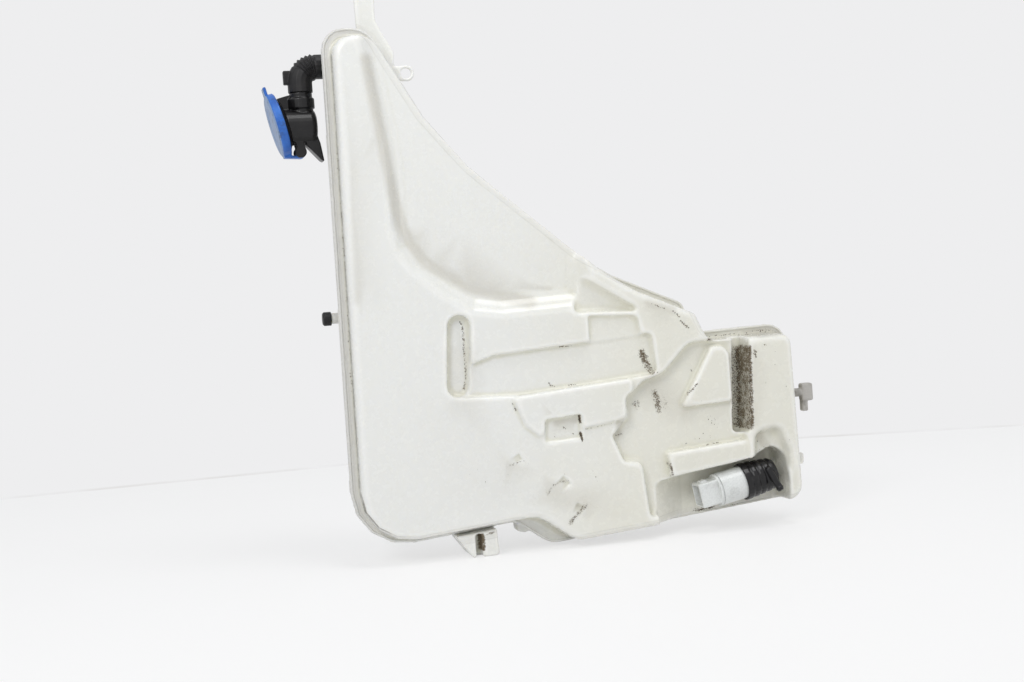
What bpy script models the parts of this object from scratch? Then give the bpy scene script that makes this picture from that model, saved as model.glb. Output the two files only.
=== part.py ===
"""Washer fluid reservoir: two moulded halves, filler neck with a hinged cap, and a washer pump.

The origin is in the middle of the foot's underside, in the plane where the halves are welded.
+X runs to the right of the front face, +Y goes back into the depth and +Z is up.
"""
import bpy
import bmesh
from math import atan2, ceil, cos, pi, radians, sin, tan
from mathutils import Matrix, Vector

MM = 0.001

# Tank: the outline of the weld flange, seen from the front
TANK_LEFT = -92.5 * MM
TANK_RIGHT = 267 * MM
TANK_TOP = 400 * MM
TANK_TOP_LEFT = -89 * MM
TANK_TOP_RIGHT = -54.5 * MM
TANK_BOTTOM_LEFT = 10.5 * MM
LOBE_BOTTOM = 2 * MM
SLOPE_X = -4 * MM
SLOPE_Z = 311 * MM
BOX_TOP = 158 * MM
BOX_BOTTOM = 19.5 * MM
DRAWN_RISE = 242 * MM
FLANGE_LIP = 6.5 * MM
NARROW_LIP = 1.2 * MM
WIDE_LIP = 8 * MM
CORNER_LIP = 12 * MM
BOTTOM_LIP = 3 * MM
FLANGE_THICKNESS = 2.4 * MM
SEAM_GAP = 0.3 * MM
WALL = 2.4 * MM
FIT_GAP = 0.3 * MM

# Front half: the face stands further forward towards the right
FACE_RISE = 14 * MM
FACE_LEAN = 0.057
FACE_EDGE = 4 * MM
FACE_DRAFT = 1.5 * MM
CHANNEL_DEPTH = 11 * MM
CHANNEL_SLOPE = 9 * MM
SLOT_DEPTH = 8 * MM
BAND_DEPTH = 4.5 * MM
POCKET_FLOOR = -3.2 * MM
POCKET_FRONT = -70 * MM
POCKET_LEFT = 140 * MM
POCKET_RAMP = 24 * MM
POCKET_RAMP_FRONT = -18.5 * MM
GROOVE_FLOOR = -8 * MM

# Rear half
REAR_DEPTH = 42 * MM
BODY_DEPTH = 62 * MM
REAR_EDGE = 10 * MM
REAR_DRAFT = 2.5 * MM

# Foot, tongue, peg and hose eye of the rear half
FOOT_HEIGHT = 24 * MM
FOOT_FRONT = -12 * MM
FOOT_BACK = 22 * MM
FOOT_SLOT = 5 * MM
FOOT_SLOT_DEPTH = 9 * MM
TONGUE_TOP = TANK_TOP + 44 * MM
TONGUE_WIDTH = 14 * MM
TONGUE_THICKNESS = 4 * MM
TONGUE_FRONT = 17 * MM
BOLT_EYE_RADIUS = 3.6 * MM
PEG_Z = 187 * MM
PEG_Y = 12 * MM
PEG_START = TANK_LEFT + FLANGE_LIP + 1.5 * MM
PEG_LENGTH = 15 * MM
PEG_RADIUS = 4.2 * MM
PEG_TIP_RADIUS = 3.1 * MM
PEG_TIP_LENGTH = 5 * MM
PEG_CAP_RADIUS = 5.2 * MM
HOSE_EYE_X = -23.5 * MM
HOSE_EYE_STEM = 14 * MM
HOSE_EYE_RADIUS = 6.5 * MM
HOSE_EYE_HOLE = 4 * MM
CLIP_Z = 101.9 * MM
CLIP_Y = -15 * MM
CLIP_HEAD_WIDTH = 8 * MM
CLIP_HEAD_HEIGHT = 14 * MM
CLIP_STALK_RADIUS = 3.4 * MM
CLIP_START = 12 * MM
CLIP_LENGTH = 21.5 * MM
NUB_Z = 47 * MM
NUB_HEIGHT = 9 * MM
NUB_REACH = 9 * MM

# Filler neck
NECK_Z = TANK_TOP - 24.8 * MM
NECK_Y = 20 * MM
NECK_REACH = 11.1 * MM
NECK_RADIUS = 7.2 * MM
NECK_BORE = 5.4 * MM
ELBOW_WALL = 1.7 * MM
ELBOW_BEND = 12 * MM
ELBOW_DROP = 6.9 * MM
ELBOW_RIB = 0.7 * MM
ELBOW_RIB_COUNT = 5
COLLAR_RADIUS = 9.8 * MM
COLLAR_LENGTH = 7.6 * MM
COLLAR_GROOVE = 4 * MM
FUNNEL_TILT = radians(13.5)
FUNNEL_RADIUS = 21.3 * MM
FUNNEL_RIM = 3.2 * MM
FUNNEL_CONE = 3 * MM
FUNNEL_CONE_RADIUS = 15.5 * MM
FUNNEL_BODY_RADIUS = 13.2 * MM
FUNNEL_BODY_LENGTH = 25.5 * MM
FUNNEL_BODY_DROP = 1.9 * MM
FUNNEL_WALL = 2 * MM
MOUTH_X = -122.2 * MM
MOUTH_Z = NECK_Z - 42.6 * MM
CAP_RADIUS = 24 * MM
CAP_PLATE = 2.2 * MM
CAP_SKIRT = 3 * MM
CAP_PLUG_RADIUS = 15 * MM
CAP_PLUG_DEPTH = 2.6 * MM
SEAL_THICKNESS = 1.3 * MM
HINGE_DROP = 25 * MM
HINGE_BACK = 9.5 * MM
HINGE_BAR_RADIUS = 1.4 * MM
KNUCKLE_RADIUS = 3 * MM
KNUCKLE_WIDTH = 9.4 * MM
EAR_THICKNESS = 2.4 * MM
EAR_RADIUS = 4.4 * MM
STRAP_THICKNESS = 2 * MM
STRAP_LENGTH = 12.6 * MM
STRAP_TILT = radians(17)
TAB_REACH = 5.5 * MM
TAB_WIDTH = 12 * MM

# Washer pump, along its own axis from the connector's mouth
PUMP_X = 173.9 * MM
PUMP_Y = -20.5 * MM
PUMP_Z = 29.7 * MM
PUMP_TILT = radians(10.5)
SOCKET_DEPTH = 11 * MM
SOCKET_LENGTH = 15.5 * MM
SOCKET_WIDTH = 17 * MM
SOCKET_HEIGHT = 19 * MM
SOCKET_WALL = 1.8 * MM
END_DISC = 2.2 * MM
SLEEVE_RADIUS = 12.7 * MM
SLEEVE_WALL = 0.9 * MM
SLEEVE_LENGTH = 25.5 * MM
CAN_WALL = 0.6 * MM
MAGNET_THICKNESS = 3 * MM
MAGNET_LENGTH = 15 * MM
ARMATURE_RADIUS = 6.6 * MM
ARMATURE_LENGTH = 11 * MM
ARMATURE_SLOTS = 3
SHAFT_RADIUS = 1 * MM
COMMUTATOR_RADIUS = 2.8 * MM
COMMUTATOR_LENGTH = 3.4 * MM
BUSH_RADIUS = 2.8 * MM
BUSH_LENGTH = 2.4 * MM
HEAD_RADIUS = 14.6 * MM
HEAD_END_RADIUS = 12.6 * MM
HEAD_LENGTH = 30 * MM
HEAD_SKIRT = 6 * MM
HEAD_RIBS = 4
CHAMBER_RADIUS = 9.6 * MM
CHAMBER_LENGTH = 7 * MM
PLATE_THICKNESS = 2.4 * MM
SPIGOT_RADIUS = 4.5 * MM
SPIGOT_BORE = 2.8 * MM
NOZZLE_RADIUS = 2.7 * MM
NOZZLE_BORE = 1.5 * MM
NOZZLE_LENGTH = 19 * MM
NOZZLE_AIM = Vector((0.2, -0.36, -0.9))
NOZZLE_SIDE = -11 * MM
NOZZLE_RISE = 6 * MM
IMPELLER_RADIUS = 8.4 * MM
IMPELLER_BLADES = 6
GROMMET_RADIUS = 8.6 * MM
GROMMET_WAIST = 6.8 * MM
STRAINER_RADIUS = 8 * MM
STRAINER_LENGTH = 15 * MM

# Places along the pump that follow from the sizes above
SLEEVE_START = SOCKET_LENGTH + END_DISC + FIT_GAP
SLEEVE_END = SLEEVE_START + SLEEVE_LENGTH
CAN_RADIUS = SLEEVE_RADIUS - SLEEVE_WALL - FIT_GAP
CAN_END = SLEEVE_END - 1.5 * MM
BRUSH_PLACE = SLEEVE_START + 4 * MM
HEAD_START = SLEEVE_END - HEAD_SKIRT
PLATE_START = SLEEVE_END + 2 * FIT_GAP
CHAMBER_START = PLATE_START + PLATE_THICKNESS
CHAMBER_END = CHAMBER_START + CHAMBER_LENGTH
SPIGOT_PLACE = HEAD_START + HEAD_LENGTH - 9 * MM
NOZZLE_PLACE = CHAMBER_END + 4 * MM

ARC_STEP = radians(26)


def material(name, colour, roughness, metallic=0.0):
    """A plain finish with the part's colour, roughness and metallic value."""
    made = bpy.data.materials.new(name)
    made.use_nodes = True
    shader = made.node_tree.nodes["Principled BSDF"]
    shader.inputs["Base Color"].default_value = (*colour, 1.0)
    shader.inputs["Roughness"].default_value = roughness
    shader.inputs["Metallic"].default_value = metallic
    return made


def start_scene():
    """Empties the scene and makes the two collections."""
    for old in list(bpy.data.objects):
        bpy.data.objects.remove(old, do_unlink=True)
    groups = []
    for name in ("washer_fluid_reservoir", "cutters"):
        group = bpy.data.collections.new(name)
        bpy.context.scene.collection.children.link(group)
        groups.append(group)
    return groups


PARTS, CUTTERS = start_scene()

MILKY = material("milky_polyethylene", (0.78, 0.79, 0.75), 0.35)
BLACK_RUBBER = material("black_rubber", (0.02, 0.02, 0.022), 0.6)
BLACK_PLASTIC = material("black_plastic", (0.018, 0.018, 0.02), 0.4)
BLUE_PLASTIC = material("blue_plastic", (0.06, 0.19, 0.55), 0.4)
WHITE_PLASTIC = material("white_plastic", (0.72, 0.76, 0.78), 0.4)
GREY_PLASTIC = material("grey_plastic", (0.5, 0.53, 0.52), 0.45)
CLIP_PLASTIC = material("clip_plastic", (0.3, 0.28, 0.25), 0.5)
STEEL = material("steel", (0.56, 0.57, 0.58), 0.3, 1.0)
COPPER = material("copper", (0.72, 0.4, 0.2), 0.35, 1.0)
BRASS = material("brass", (0.7, 0.55, 0.25), 0.35, 1.0)
FERRITE = material("ferrite", (0.05, 0.05, 0.055), 0.7)
CARBON = material("carbon", (0.03, 0.03, 0.03), 0.6)
NYLON = material("nylon", (0.8, 0.78, 0.68), 0.45)


def add_object(name, mesh, finish=None, cutter=False):
    """Puts a mesh in the scene, as a sub-part or as a hidden cutter."""
    made = bpy.data.objects.new(name, mesh)
    if cutter:
        CUTTERS.objects.link(made)
        made.hide_render = True
        made.display_type = "WIRE"
    else:
        PARTS.objects.link(made)
    if finish is not None:
        mesh.materials.append(finish)
    return made


def finish_mesh(shape, name, smooth=35.0):
    """Turns a bmesh into a mesh that shades smooth across its gentle angles."""
    bmesh.ops.recalc_face_normals(shape, faces=shape.faces)
    mesh = bpy.data.meshes.new(name)
    shape.to_mesh(mesh)
    shape.free()
    mesh.shade_smooth()
    mesh.set_sharp_from_angle(angle=radians(smooth))
    return mesh


def boolean(target, tool, operation="DIFFERENCE"):
    """Cuts the tool from the target, or joins it on."""
    step = target.modifiers.new(tool.name, "BOOLEAN")
    step.operation = operation
    step.object = tool
    return step


def outline(corners, inset=0.0, lips=False):
    """Points round a clockwise outline with rounded corners, with each edge moved inwards.

    A corner is x, z, radius and the lip of the edge that leaves it.
    """
    count = len(corners)
    edges = []
    for index, corner in enumerate(corners):
        start = Vector(corner[:2])
        end = Vector(corners[(index + 1) % count][:2])
        along = (end - start).normalized()
        shift = inset + (corner[3] if lips else 0.0)
        inward = Vector((along.y, -along.x))
        edges.append((start + inward * shift, along, shift))
    sharp = []
    for index in range(count):
        point, along, _ = edges[index]
        before, heading, _ = edges[index - 1]
        across = heading.x * along.y - heading.y * along.x
        reach = point - before
        sharp.append(before + heading * ((reach.x * along.y - reach.y * along.x) / across))
    points = []
    for index in range(count):
        heading, along = edges[index - 1][1], edges[index][1]
        turn = atan2(heading.x * along.y - heading.y * along.x, heading.dot(along))
        shift = (edges[index - 1][2] + edges[index][2]) / 2
        radius = corners[index][2] + (shift if turn > 0 else -shift)
        room = min((sharp[index] - sharp[index - 1]).length,
                   (sharp[(index + 1) % count] - sharp[index]).length)
        half = tan(abs(turn) / 2)
        radius = max(0.25 * MM, min(radius, 0.48 * room / half))
        side = 1 if turn > 0 else -1
        first = sharp[index] - heading * radius * half
        centre = first + Vector((-heading.y, heading.x)) * radius * side
        steps = max(1, ceil(abs(turn) / ARC_STEP))
        for step in range(steps + 1):
            swing = Matrix.Rotation(turn * step / steps, 2)
            points.append(centre + swing @ (first - centre))
    return points


def loft(name, rings):
    """A closed solid through rings of points that match one for one."""
    shape = bmesh.new()
    face = shape.faces.new([shape.verts.new(point) for point in rings[0]])
    for step, ring in enumerate(rings[1:]):
        result = bmesh.ops.extrude_face_region(shape, geom=[face])
        if step > 0 and face.is_valid:
            bmesh.ops.delete(shape, geom=[face], context="FACES_ONLY")
        fresh = [item for item in result["geom"] if isinstance(item, bmesh.types.BMFace)]
        face = fresh[0]
        for vertex, point in zip(face.verts, ring):
            vertex.co = point
    return finish_mesh(shape, name)


def edge_profile(base, top, draft=0.0, edge=0.0, foot=0.0, lead=2 * MM, steps=2):
    """Insets and depths up a drafted side, with a rounded foot and a rounded top edge."""
    way = 1 if top > base else -1
    height = abs(top - base)
    points = [(-foot, base - way * lead)]
    if foot > 0:
        for step in range(steps + 1):
            swing = radians(90) * (step + 0.3) / (steps + 0.3)
            points.append((foot * (sin(swing) - 1), base + way * foot * (1 - cos(swing))))
    if edge > 0:
        for step in range(steps + 1):
            swing = radians(90) * step / steps
            points.append((edge * (1 - cos(swing)), top - way * edge * (1 - sin(swing))))
    else:
        points.append((0.0, top))
    return [(inset + draft * max(0.0, (depth - base) * way) / height, depth)
            for inset, depth in points]


def lean(x):
    """How far forward the front face stands at x beyond its left edge."""
    return FACE_LEAN * (x - TANK_LEFT)


def moulded(name, corners, profile, leaning=True, lips=False, finish=None, cutter=True):
    """A drafted solid on an outline; what is in front of the flange follows the face's lean."""
    rings = []
    for inset, depth in profile:
        leans = leaning and (cutter or depth < -FLANGE_THICKNESS * 1.5)
        ring = []
        for point in outline(corners, inset, lips):
            forward = lean(point.x) if leans else 0.0
            ring.append(Vector((point.x, depth - forward, point.y)))
        rings.append(ring)
    return add_object(name, loft(name, rings), finish, cutter)


def drawn(z):
    """A drawn height as built: what lies above the pump's box is stretched with the tank."""
    if z <= BOX_TOP:
        return z
    return BOX_TOP + (z - BOX_TOP) * (TANK_TOP - BOX_TOP) / DRAWN_RISE


def scaled(corners):
    """Corners written in millimetres as x, z and radius, in metres and with the height as built."""
    return [(x * MM, drawn(z * MM), radius * MM) for x, z, radius in corners]


TANK = [
    (TANK_LEFT, TANK_BOTTOM_LEFT, 42 * MM, FLANGE_LIP),
    (TANK_TOP_LEFT, TANK_TOP, 22 * MM, FLANGE_LIP),
    (TANK_TOP_RIGHT, TANK_TOP, 20 * MM, NARROW_LIP),
    (SLOPE_X, drawn(SLOPE_Z), 150 * MM, NARROW_LIP),
    (109 * MM, drawn(211 * MM), 90 * MM, FLANGE_LIP),
    (178 * MM, drawn(180 * MM), 9 * MM, NARROW_LIP),
    (188 * MM, BOX_TOP - 2 * MM, 8 * MM, FLANGE_LIP),
    (TANK_RIGHT - 3 * MM, BOX_TOP, 16 * MM, WIDE_LIP),
    (TANK_RIGHT, BOX_BOTTOM, 18 * MM, NARROW_LIP),
    (59 * MM, LOBE_BOTTOM, 18 * MM, CORNER_LIP),
    (32 * MM, 22 * MM, 10 * MM, BOTTOM_LIP),
]

# Recesses and blocks of the front face, in millimetres: x, z and corner radius, clockwise
CHANNEL = scaled([(-70, 440, 5), (160, 440, 5), (160, 260, 5), (97, 217, 4), (95, 184, 7),
                  (6, 181, 60), (-50, 232, 45), (-49, 300, 120)])
SLOT = scaled([(-17, 122, 8.8), (-12.5, 184, 8.8), (5.5, 183, 8.8), (1.5, 121, 8.8)])
BAND = scaled([(-6, 121, 2), (-5, 144, 2), (20, 152, 8), (104, 157, 5), (143.5, 159.7, 5),
               (146, 127.2, 5), (40, 119, 5)])
STEP = scaled([(94, 146, 2), (94, 176, 2), (133, 174, 6), (137, 146, 5)])
RUNOUT = scaled([(84, 178, 4), (84, 212, 4), (99, 202, 6), (140, 175.3, 3)])
TRAPEZOID = scaled([(55, 84, 4), (40, 97, 6), (32, 119, 3), (126, 126, 4), (124, 96, 5),
                    (84, 91, 2), (83, 101, 2), (56, 99, 2)])
PATCH = scaled([(54, 82, 3), (56, 100, 2), (83, 102, 2), (84, 83, 2)])
PLAIN = scaled([(133, 18, 4), (129, 60, 5), (115, 62.5, 4), (107, 83, 3), (120, 97, 3), (120, 111, 5),
                (134, 123, 7), (150, 128, 12), (172, 150, 14), (214, 151, 4), (215, 56, 3), (214, 20, 3)])
SCOOP = scaled([(219.5, 44, 6), (221, 76, 8), (241, 79, 8), (248, 60, 8), (248, 40, 8)])
FACET = scaled([(163.7, 99, 2), (190.7, 145.2, 3), (201, 144.4, 3), (205.6, 138.7, 3), (206, 101, 2)])
BAR = scaled([(151.6, 46.5, 2.5), (150.5, 66.1, 3), (217.9, 71.2, 3), (218.8, 55.2, 2.5)])
GROOVE = scaled([(206, 76, 4), (210, 152, 3), (220.5, 152, 3), (217.5, 76, 4)])
BODY = scaled([(-84, 18, 38), (-82, 206, 26), (58, 206, 60), (150, 146, 40), (253.5, 146, 14),
               (255.5, 26, 16), (68, 15, 14), (42, 36, 14)])


def carve(outer, inner, name, corners, depth, edge=2.5 * MM, foot=1.6 * MM, draft=1.0 * MM,
          lead=2 * MM):
    """Sinks a soft-edged recess into the face and moves the cavity's wall back by as much."""
    face = -FACE_RISE
    shape = edge_profile(face, face + depth, draft, edge, foot, lead)
    boolean(outer, moulded(name + "_recess", corners, shape))
    behind = edge_profile(face, face + depth + WALL, draft, edge * 0.5, steps=1)
    wider = [(inset - WALL * 0.9 - foot * 0.6, level) for inset, level in behind]
    boolean(inner, moulded(name + "_behind", corners, wider))


def raise_block(outer, inner, name, corners, height, start=None, edge=1.8 * MM):
    """Raises a soft-edged block on the face, and hollows it."""
    start = -FACE_RISE if start is None else start
    shape = edge_profile(start, start - height, 0.6 * MM, min(edge, height * 0.6), 0.0)
    boolean(outer, moulded(name + "_block", corners, shape), "UNION")
    within = [(WALL, start + 4 * MM), (WALL, start - height + WALL)]
    boolean(inner, moulded(name + "_within", corners, within), "UNION")


def front_shell():
    """The front half: a drafted face with its recesses and blocks over a weld flange."""
    seam = -SEAM_GAP / 2
    face = edge_profile(seam - 1 * MM, -FACE_RISE, FACE_DRAFT, FACE_EDGE, lead=0.0, steps=3)
    shell = moulded("tank_front_shell", TANK, face, lips=True, finish=MILKY, cutter=False)
    cavity = [(WALL, 20 * MM), (WALL + FACE_DRAFT, -FACE_RISE + FACE_EDGE),
              (WALL + FACE_DRAFT + 1.5 * MM, -FACE_RISE + WALL)]
    inner = moulded("front_cavity", TANK, cavity, lips=True)

    carve(shell, inner, "channel", CHANNEL, CHANNEL_DEPTH, 5 * MM, 4 * MM, CHANNEL_SLOPE)
    carve(shell, inner, "slot", SLOT, SLOT_DEPTH, 2.5 * MM, 1.6 * MM)
    carve(shell, inner, "runout", RUNOUT, 7 * MM, 3 * MM, 2 * MM, 2 * MM)
    carve(shell, inner, "step", STEP, 3.5 * MM, 1.2 * MM, 1 * MM)
    carve(shell, inner, "band", BAND, BAND_DEPTH, 1.8 * MM, 1.2 * MM)
    raise_block(shell, inner, "trapezoid", TRAPEZOID, 2.6 * MM)
    carve(shell, inner, "patch", PATCH, 2.2 * MM, 0.8 * MM, 0.6 * MM)
    carve(shell, inner, "plain", PLAIN, 9 * MM, 3 * MM, 2 * MM, 2 * MM, lead=6 * MM)
    carve(shell, inner, "scoop", SCOOP, 9 * MM, 5 * MM, 4 * MM, 2 * MM)
    raise_block(shell, inner, "facet", FACET, 6 * MM, 9 * MM - FACE_RISE)
    raise_block(shell, inner, "bar", BAR, 8 * MM, 9 * MM - FACE_RISE)

    cut = edge_profile(POCKET_FRONT, GROOVE_FLOOR, 0.0, 3 * MM, lead=0.0)
    boolean(shell, moulded("groove_recess", GROOVE, cut, leaning=False))
    behind = [(-WALL, POCKET_FRONT), (-WALL, GROOVE_FLOOR), (-WALL * 0.5, GROOVE_FLOOR + WALL)]
    boolean(inner, moulded("groove_behind", GROOVE, behind, leaning=False))
    boolean(shell, pocket_space("pocket_recess", 0.0))
    boolean(inner, pocket_space("pocket_behind", WALL))

    boolean(shell, flange("front_flange", seam, -FLANGE_THICKNESS), "UNION")
    boolean(shell, inner)
    spigot = spigot_centre()
    hole = add_rod("grommet_hole", GROMMET_WAIST + FIT_GAP, -8 * MM, 6 * MM, 24)
    hole.rotation_euler = (radians(-90), 0, 0)
    hole.location = (spigot.x, 0, spigot.z)
    boolean(shell, hole)
    clip_hole = add_rod("clip_hole", CLIP_STALK_RADIUS + FIT_GAP, -8 * MM, 8 * MM, 16)
    clip_hole.rotation_euler = (0, radians(90), 0)
    clip_hole.location = (side_wall_x(), CLIP_Y, CLIP_Z)
    boolean(shell, clip_hole)
    return shell


def pocket_space(name, wall):
    """The pump pocket's space, whose left side is a ramp; wall grows it for the cavity's side."""
    rings = []
    for inset, depth, share in ((0.0, POCKET_FRONT, 0.0), (0.0, POCKET_RAMP_FRONT, 0.0),
                                (0.0, POCKET_FLOOR - 3 * MM, 0.8), (3 * MM, POCKET_FLOOR, 1.0)):
        left = POCKET_LEFT + POCKET_RAMP * share
        top = 44 * MM + (left - 146 * MM) * 0.171
        corners = [(left, 10 * MM, 4 * MM), (left, top, 6 * MM), (222 * MM, 57 * MM, 4 * MM),
                   (238 * MM, 64 * MM, 10 * MM), (246.5 * MM, 56 * MM, 9 * MM),
                   (246.5 * MM, 10 * MM, 4 * MM)]
        rings.append([Vector((point.x, depth + wall, point.y)) for point in outline(corners, inset - wall)])
    return add_object(name, loft(name, rings), cutter=True)


def flange(name, seam, thickness):
    """The flat weld lip that follows the tank's outline."""
    soft = 0.5 * MM
    way = 1 if thickness > 0 else -1
    profile = [(0.0, seam), (0.0, thickness - way * soft), (soft, thickness)]
    return moulded(name, TANK, profile, leaning=False)


def side_wall_x():
    """Where the front half's right wall stands at the clip's height."""
    return TANK_RIGHT - WIDE_LIP - FACE_DRAFT - 1.6 * MM


def left_wall_x():
    """Where the rear half's left wall stands at the filler stub."""
    share = (NECK_Z - TANK_BOTTOM_LEFT) / (TANK_TOP - TANK_BOTTOM_LEFT)
    edge = TANK_LEFT + (TANK_TOP_LEFT - TANK_LEFT) * share
    return edge + FLANGE_LIP


def add_rod(name, radius, low, high, sides, finish=None, cutter=True):
    """A straight round bar along its own Z."""
    shape = bmesh.new()
    place = Matrix.Translation((0, 0, (low + high) / 2))
    bmesh.ops.create_cone(shape, cap_ends=True, segments=sides, radius1=radius, radius2=radius,
                          depth=high - low, matrix=place)
    return add_object(name, finish_mesh(shape, name), finish, cutter)


def add_box(name, low, high, finish=None, cutter=True, soft=0.0):
    """A box between two corners, with rounded edges where soft is given."""
    low, high = Vector(low), Vector(high)
    shape = bmesh.new()
    place = Matrix.Translation((low + high) / 2) @ Matrix.Diagonal((*(high - low), 1))
    bmesh.ops.create_cube(shape, size=1.0, matrix=place)
    if soft > 0:
        bmesh.ops.bevel(shape, geom=shape.edges[:], offset=soft, segments=2, profile=0.5,
                        affect="EDGES")
    return add_object(name, finish_mesh(shape, name), finish, cutter)


def add_plate(name, corners, front, back, soft=0.0, finish=None, cutter=True):
    """A flat plate on a front-view outline, between two depths."""
    profile = [(soft, front), (0.0, front + soft), (0.0, back - soft), (soft, back)]
    if soft == 0.0:
        profile = [(0.0, front), (0.0, back)]
    return moulded(name, corners, profile, leaning=False, finish=finish, cutter=cutter)


def turned(name, profile, steps, finish=None, cutter=False, closed=False):
    """A body of revolution about its own Z; the profile runs down its outer side."""
    mesh = bpy.data.meshes.new(name)
    edges = [(i, i + 1) for i in range(len(profile) - 1)]
    if closed:
        edges.append((len(profile) - 1, 0))
    mesh.from_pydata([(radius, 0.0, height) for radius, height in profile], edges, [])
    made = add_object(name, mesh, finish, cutter)
    screw = made.modifiers.new("turn", "SCREW")
    screw.axis = "Z"
    screw.steps = steps
    screw.render_steps = steps
    screw.use_merge_vertices = True
    screw.merge_threshold = 0.00001
    screw.use_smooth_shade = True
    return made


def rear_shell():
    """The rear half, with the filler stub, tongue, peg, foot and lugs moulded on it."""
    seam = SEAM_GAP / 2
    back = edge_profile(seam + 1 * MM, REAR_DEPTH, REAR_DRAFT, REAR_EDGE, lead=0.0, steps=3)
    shell = moulded("tank_rear_shell", TANK, back, lips=True, finish=MILKY, cutter=False)
    body = edge_profile(REAR_DEPTH - 12 * MM, BODY_DEPTH, REAR_DRAFT, REAR_EDGE, lead=0.0, steps=3)
    boolean(shell, moulded("rear_body", BODY, body, leaning=False), "UNION")
    boolean(shell, flange("rear_flange", seam, FLANGE_THICKNESS), "UNION")

    stub = add_rod("filler_stub", NECK_RADIUS, -8 * MM, NECK_REACH, 24)
    bore = add_rod("filler_bore", NECK_BORE, -20 * MM, NECK_REACH + 5 * MM, 24)
    for rod in (stub, bore):
        rod.rotation_euler = (0, radians(-90), 0)
        rod.location = (left_wall_x(), NECK_Y, NECK_Z)
    boolean(shell, stub, "UNION")

    peg = add_rod("peg", PEG_RADIUS, -4 * MM, PEG_LENGTH - PEG_TIP_LENGTH, 20)
    tip = add_rod("peg_tip", PEG_TIP_RADIUS, 0, PEG_LENGTH, 16)
    for rod in (peg, tip):
        rod.rotation_euler = (0, radians(-90), 0)
        rod.location = (PEG_START, PEG_Y, PEG_Z)
        boolean(shell, rod, "UNION")

    boolean(shell, add_plate("tongue", tongue_outline(), TONGUE_FRONT,
                             TONGUE_FRONT + TONGUE_THICKNESS, 0.8 * MM), "UNION")
    boolean(shell, add_plate("hose_loop", disc_outline(hose_eye(), HOSE_EYE_RADIUS, HOSE_EYE_STEM),
                             TONGUE_FRONT, TONGUE_FRONT + TONGUE_THICKNESS, 0.6 * MM), "UNION")
    corners = scaled([(-4, 0, 1), (-16, 17, 2), (-16, 30, 2), (15, 30, 2), (16.5, 0, 2)])
    foot = add_plate("foot", corners, FOOT_FRONT, FOOT_BACK, 0.8 * MM)
    clear = [(-FIT_GAP, FOOT_FRONT - 20 * MM), (-FIT_GAP, seam)]
    boolean(foot, moulded("front_clearance", TANK, clear, leaning=False))
    boolean(shell, foot, "UNION")
    lug = scaled([(34, 14, 3), (33, 30, 3), (46, 30, 3), (43, 11.5, 3)])
    boolean(shell, add_plate("lug", lug, 2 * MM, 14 * MM, 0.8 * MM), "UNION")
    nub = add_box("side_nub", (TANK_RIGHT - WIDE_LIP - 6 * MM, FLANGE_THICKNESS - 1 * MM, NUB_Z - NUB_HEIGHT / 2),
                  (TANK_RIGHT + NUB_REACH, FLANGE_THICKNESS + 4 * MM, NUB_Z + NUB_HEIGHT / 2), soft=1 * MM)
    boolean(shell, nub, "UNION")

    wide = [(WALL, -2 * MM), (WALL + REAR_DRAFT, REAR_DEPTH - REAR_EDGE),
            (WALL + REAR_DRAFT + 4 * MM, REAR_DEPTH - WALL)]
    inner = moulded("rear_cavity", TANK, wide, leaning=False, lips=True)
    deep = [(WALL, REAR_DEPTH - 14 * MM), (WALL + REAR_DRAFT, BODY_DEPTH - REAR_EDGE),
            (WALL + REAR_DRAFT + 4 * MM, BODY_DEPTH - WALL)]
    boolean(inner, moulded("rear_body_cavity", BODY, deep, leaning=False), "UNION")
    boolean(shell, inner)
    boolean(shell, bore)

    slot = add_box("foot_slot", (1 * MM - FOOT_SLOT / 2, FOOT_FRONT - 5 * MM, -5 * MM),
                   (1 * MM + FOOT_SLOT / 2, FOOT_FRONT + FOOT_SLOT_DEPTH, FOOT_HEIGHT - 6 * MM))
    boolean(shell, slot)
    for name, centre, radius in (("bolt_eye", bolt_eye_centre(), BOLT_EYE_RADIUS),
                                 ("hose_hole", hose_eye(), HOSE_EYE_HOLE)):
        hole = add_rod(name, radius, -4 * MM, TONGUE_THICKNESS + 4 * MM, 20)
        hole.rotation_euler = (radians(-90), 0, 0)
        hole.location = (centre.x, TONGUE_FRONT, centre.y)
        boolean(shell, hole)
    return shell


def bolt_eye_centre():
    """Centre of the bolt eye in the tongue, seen from the front."""
    return Vector((-51.5 * MM, TONGUE_TOP - TONGUE_WIDTH / 2 - 1 * MM))


def tongue_outline():
    """The fixing tongue: a strap that rises from the tank's shoulder and ends in a round eye."""
    centre = bolt_eye_centre()
    half = TONGUE_WIDTH / 2 + 1 * MM
    return [(centre.x - half, centre.y - half, 7 * MM), (centre.x - half, centre.y + half, half),
            (centre.x + half, centre.y + half, half), (centre.x + half, centre.y - half, 9 * MM),
            (-44 * MM, TANK_TOP + 8 * MM, 8 * MM), (-31 * MM, TANK_TOP - 17 * MM, 4 * MM),
            (-33 * MM, TANK_TOP - 32 * MM, 3 * MM), (-60 * MM, TANK_TOP - 32 * MM, 3 * MM),
            (-59 * MM, TANK_TOP, 10 * MM)]


def hose_eye():
    """Centre of the hose eye, whose stem grows out of the tank's sloping edge."""
    share = (HOSE_EYE_X - HOSE_EYE_STEM - TANK_TOP_RIGHT) / (SLOPE_X - TANK_TOP_RIGHT)
    return Vector((HOSE_EYE_X, TANK_TOP - share * (TANK_TOP - drawn(SLOPE_Z)) - 2 * MM))


def disc_outline(centre, radius, reach):
    """A round eye on a short stem that runs to the left."""
    x, z = centre
    return [(x - reach, z - radius * 0.8, 1 * MM), (x - reach, z + radius * 0.8, 1 * MM),
            (x + radius, z + radius, radius * 0.98), (x + radius, z - radius, radius * 0.98)]


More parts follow.
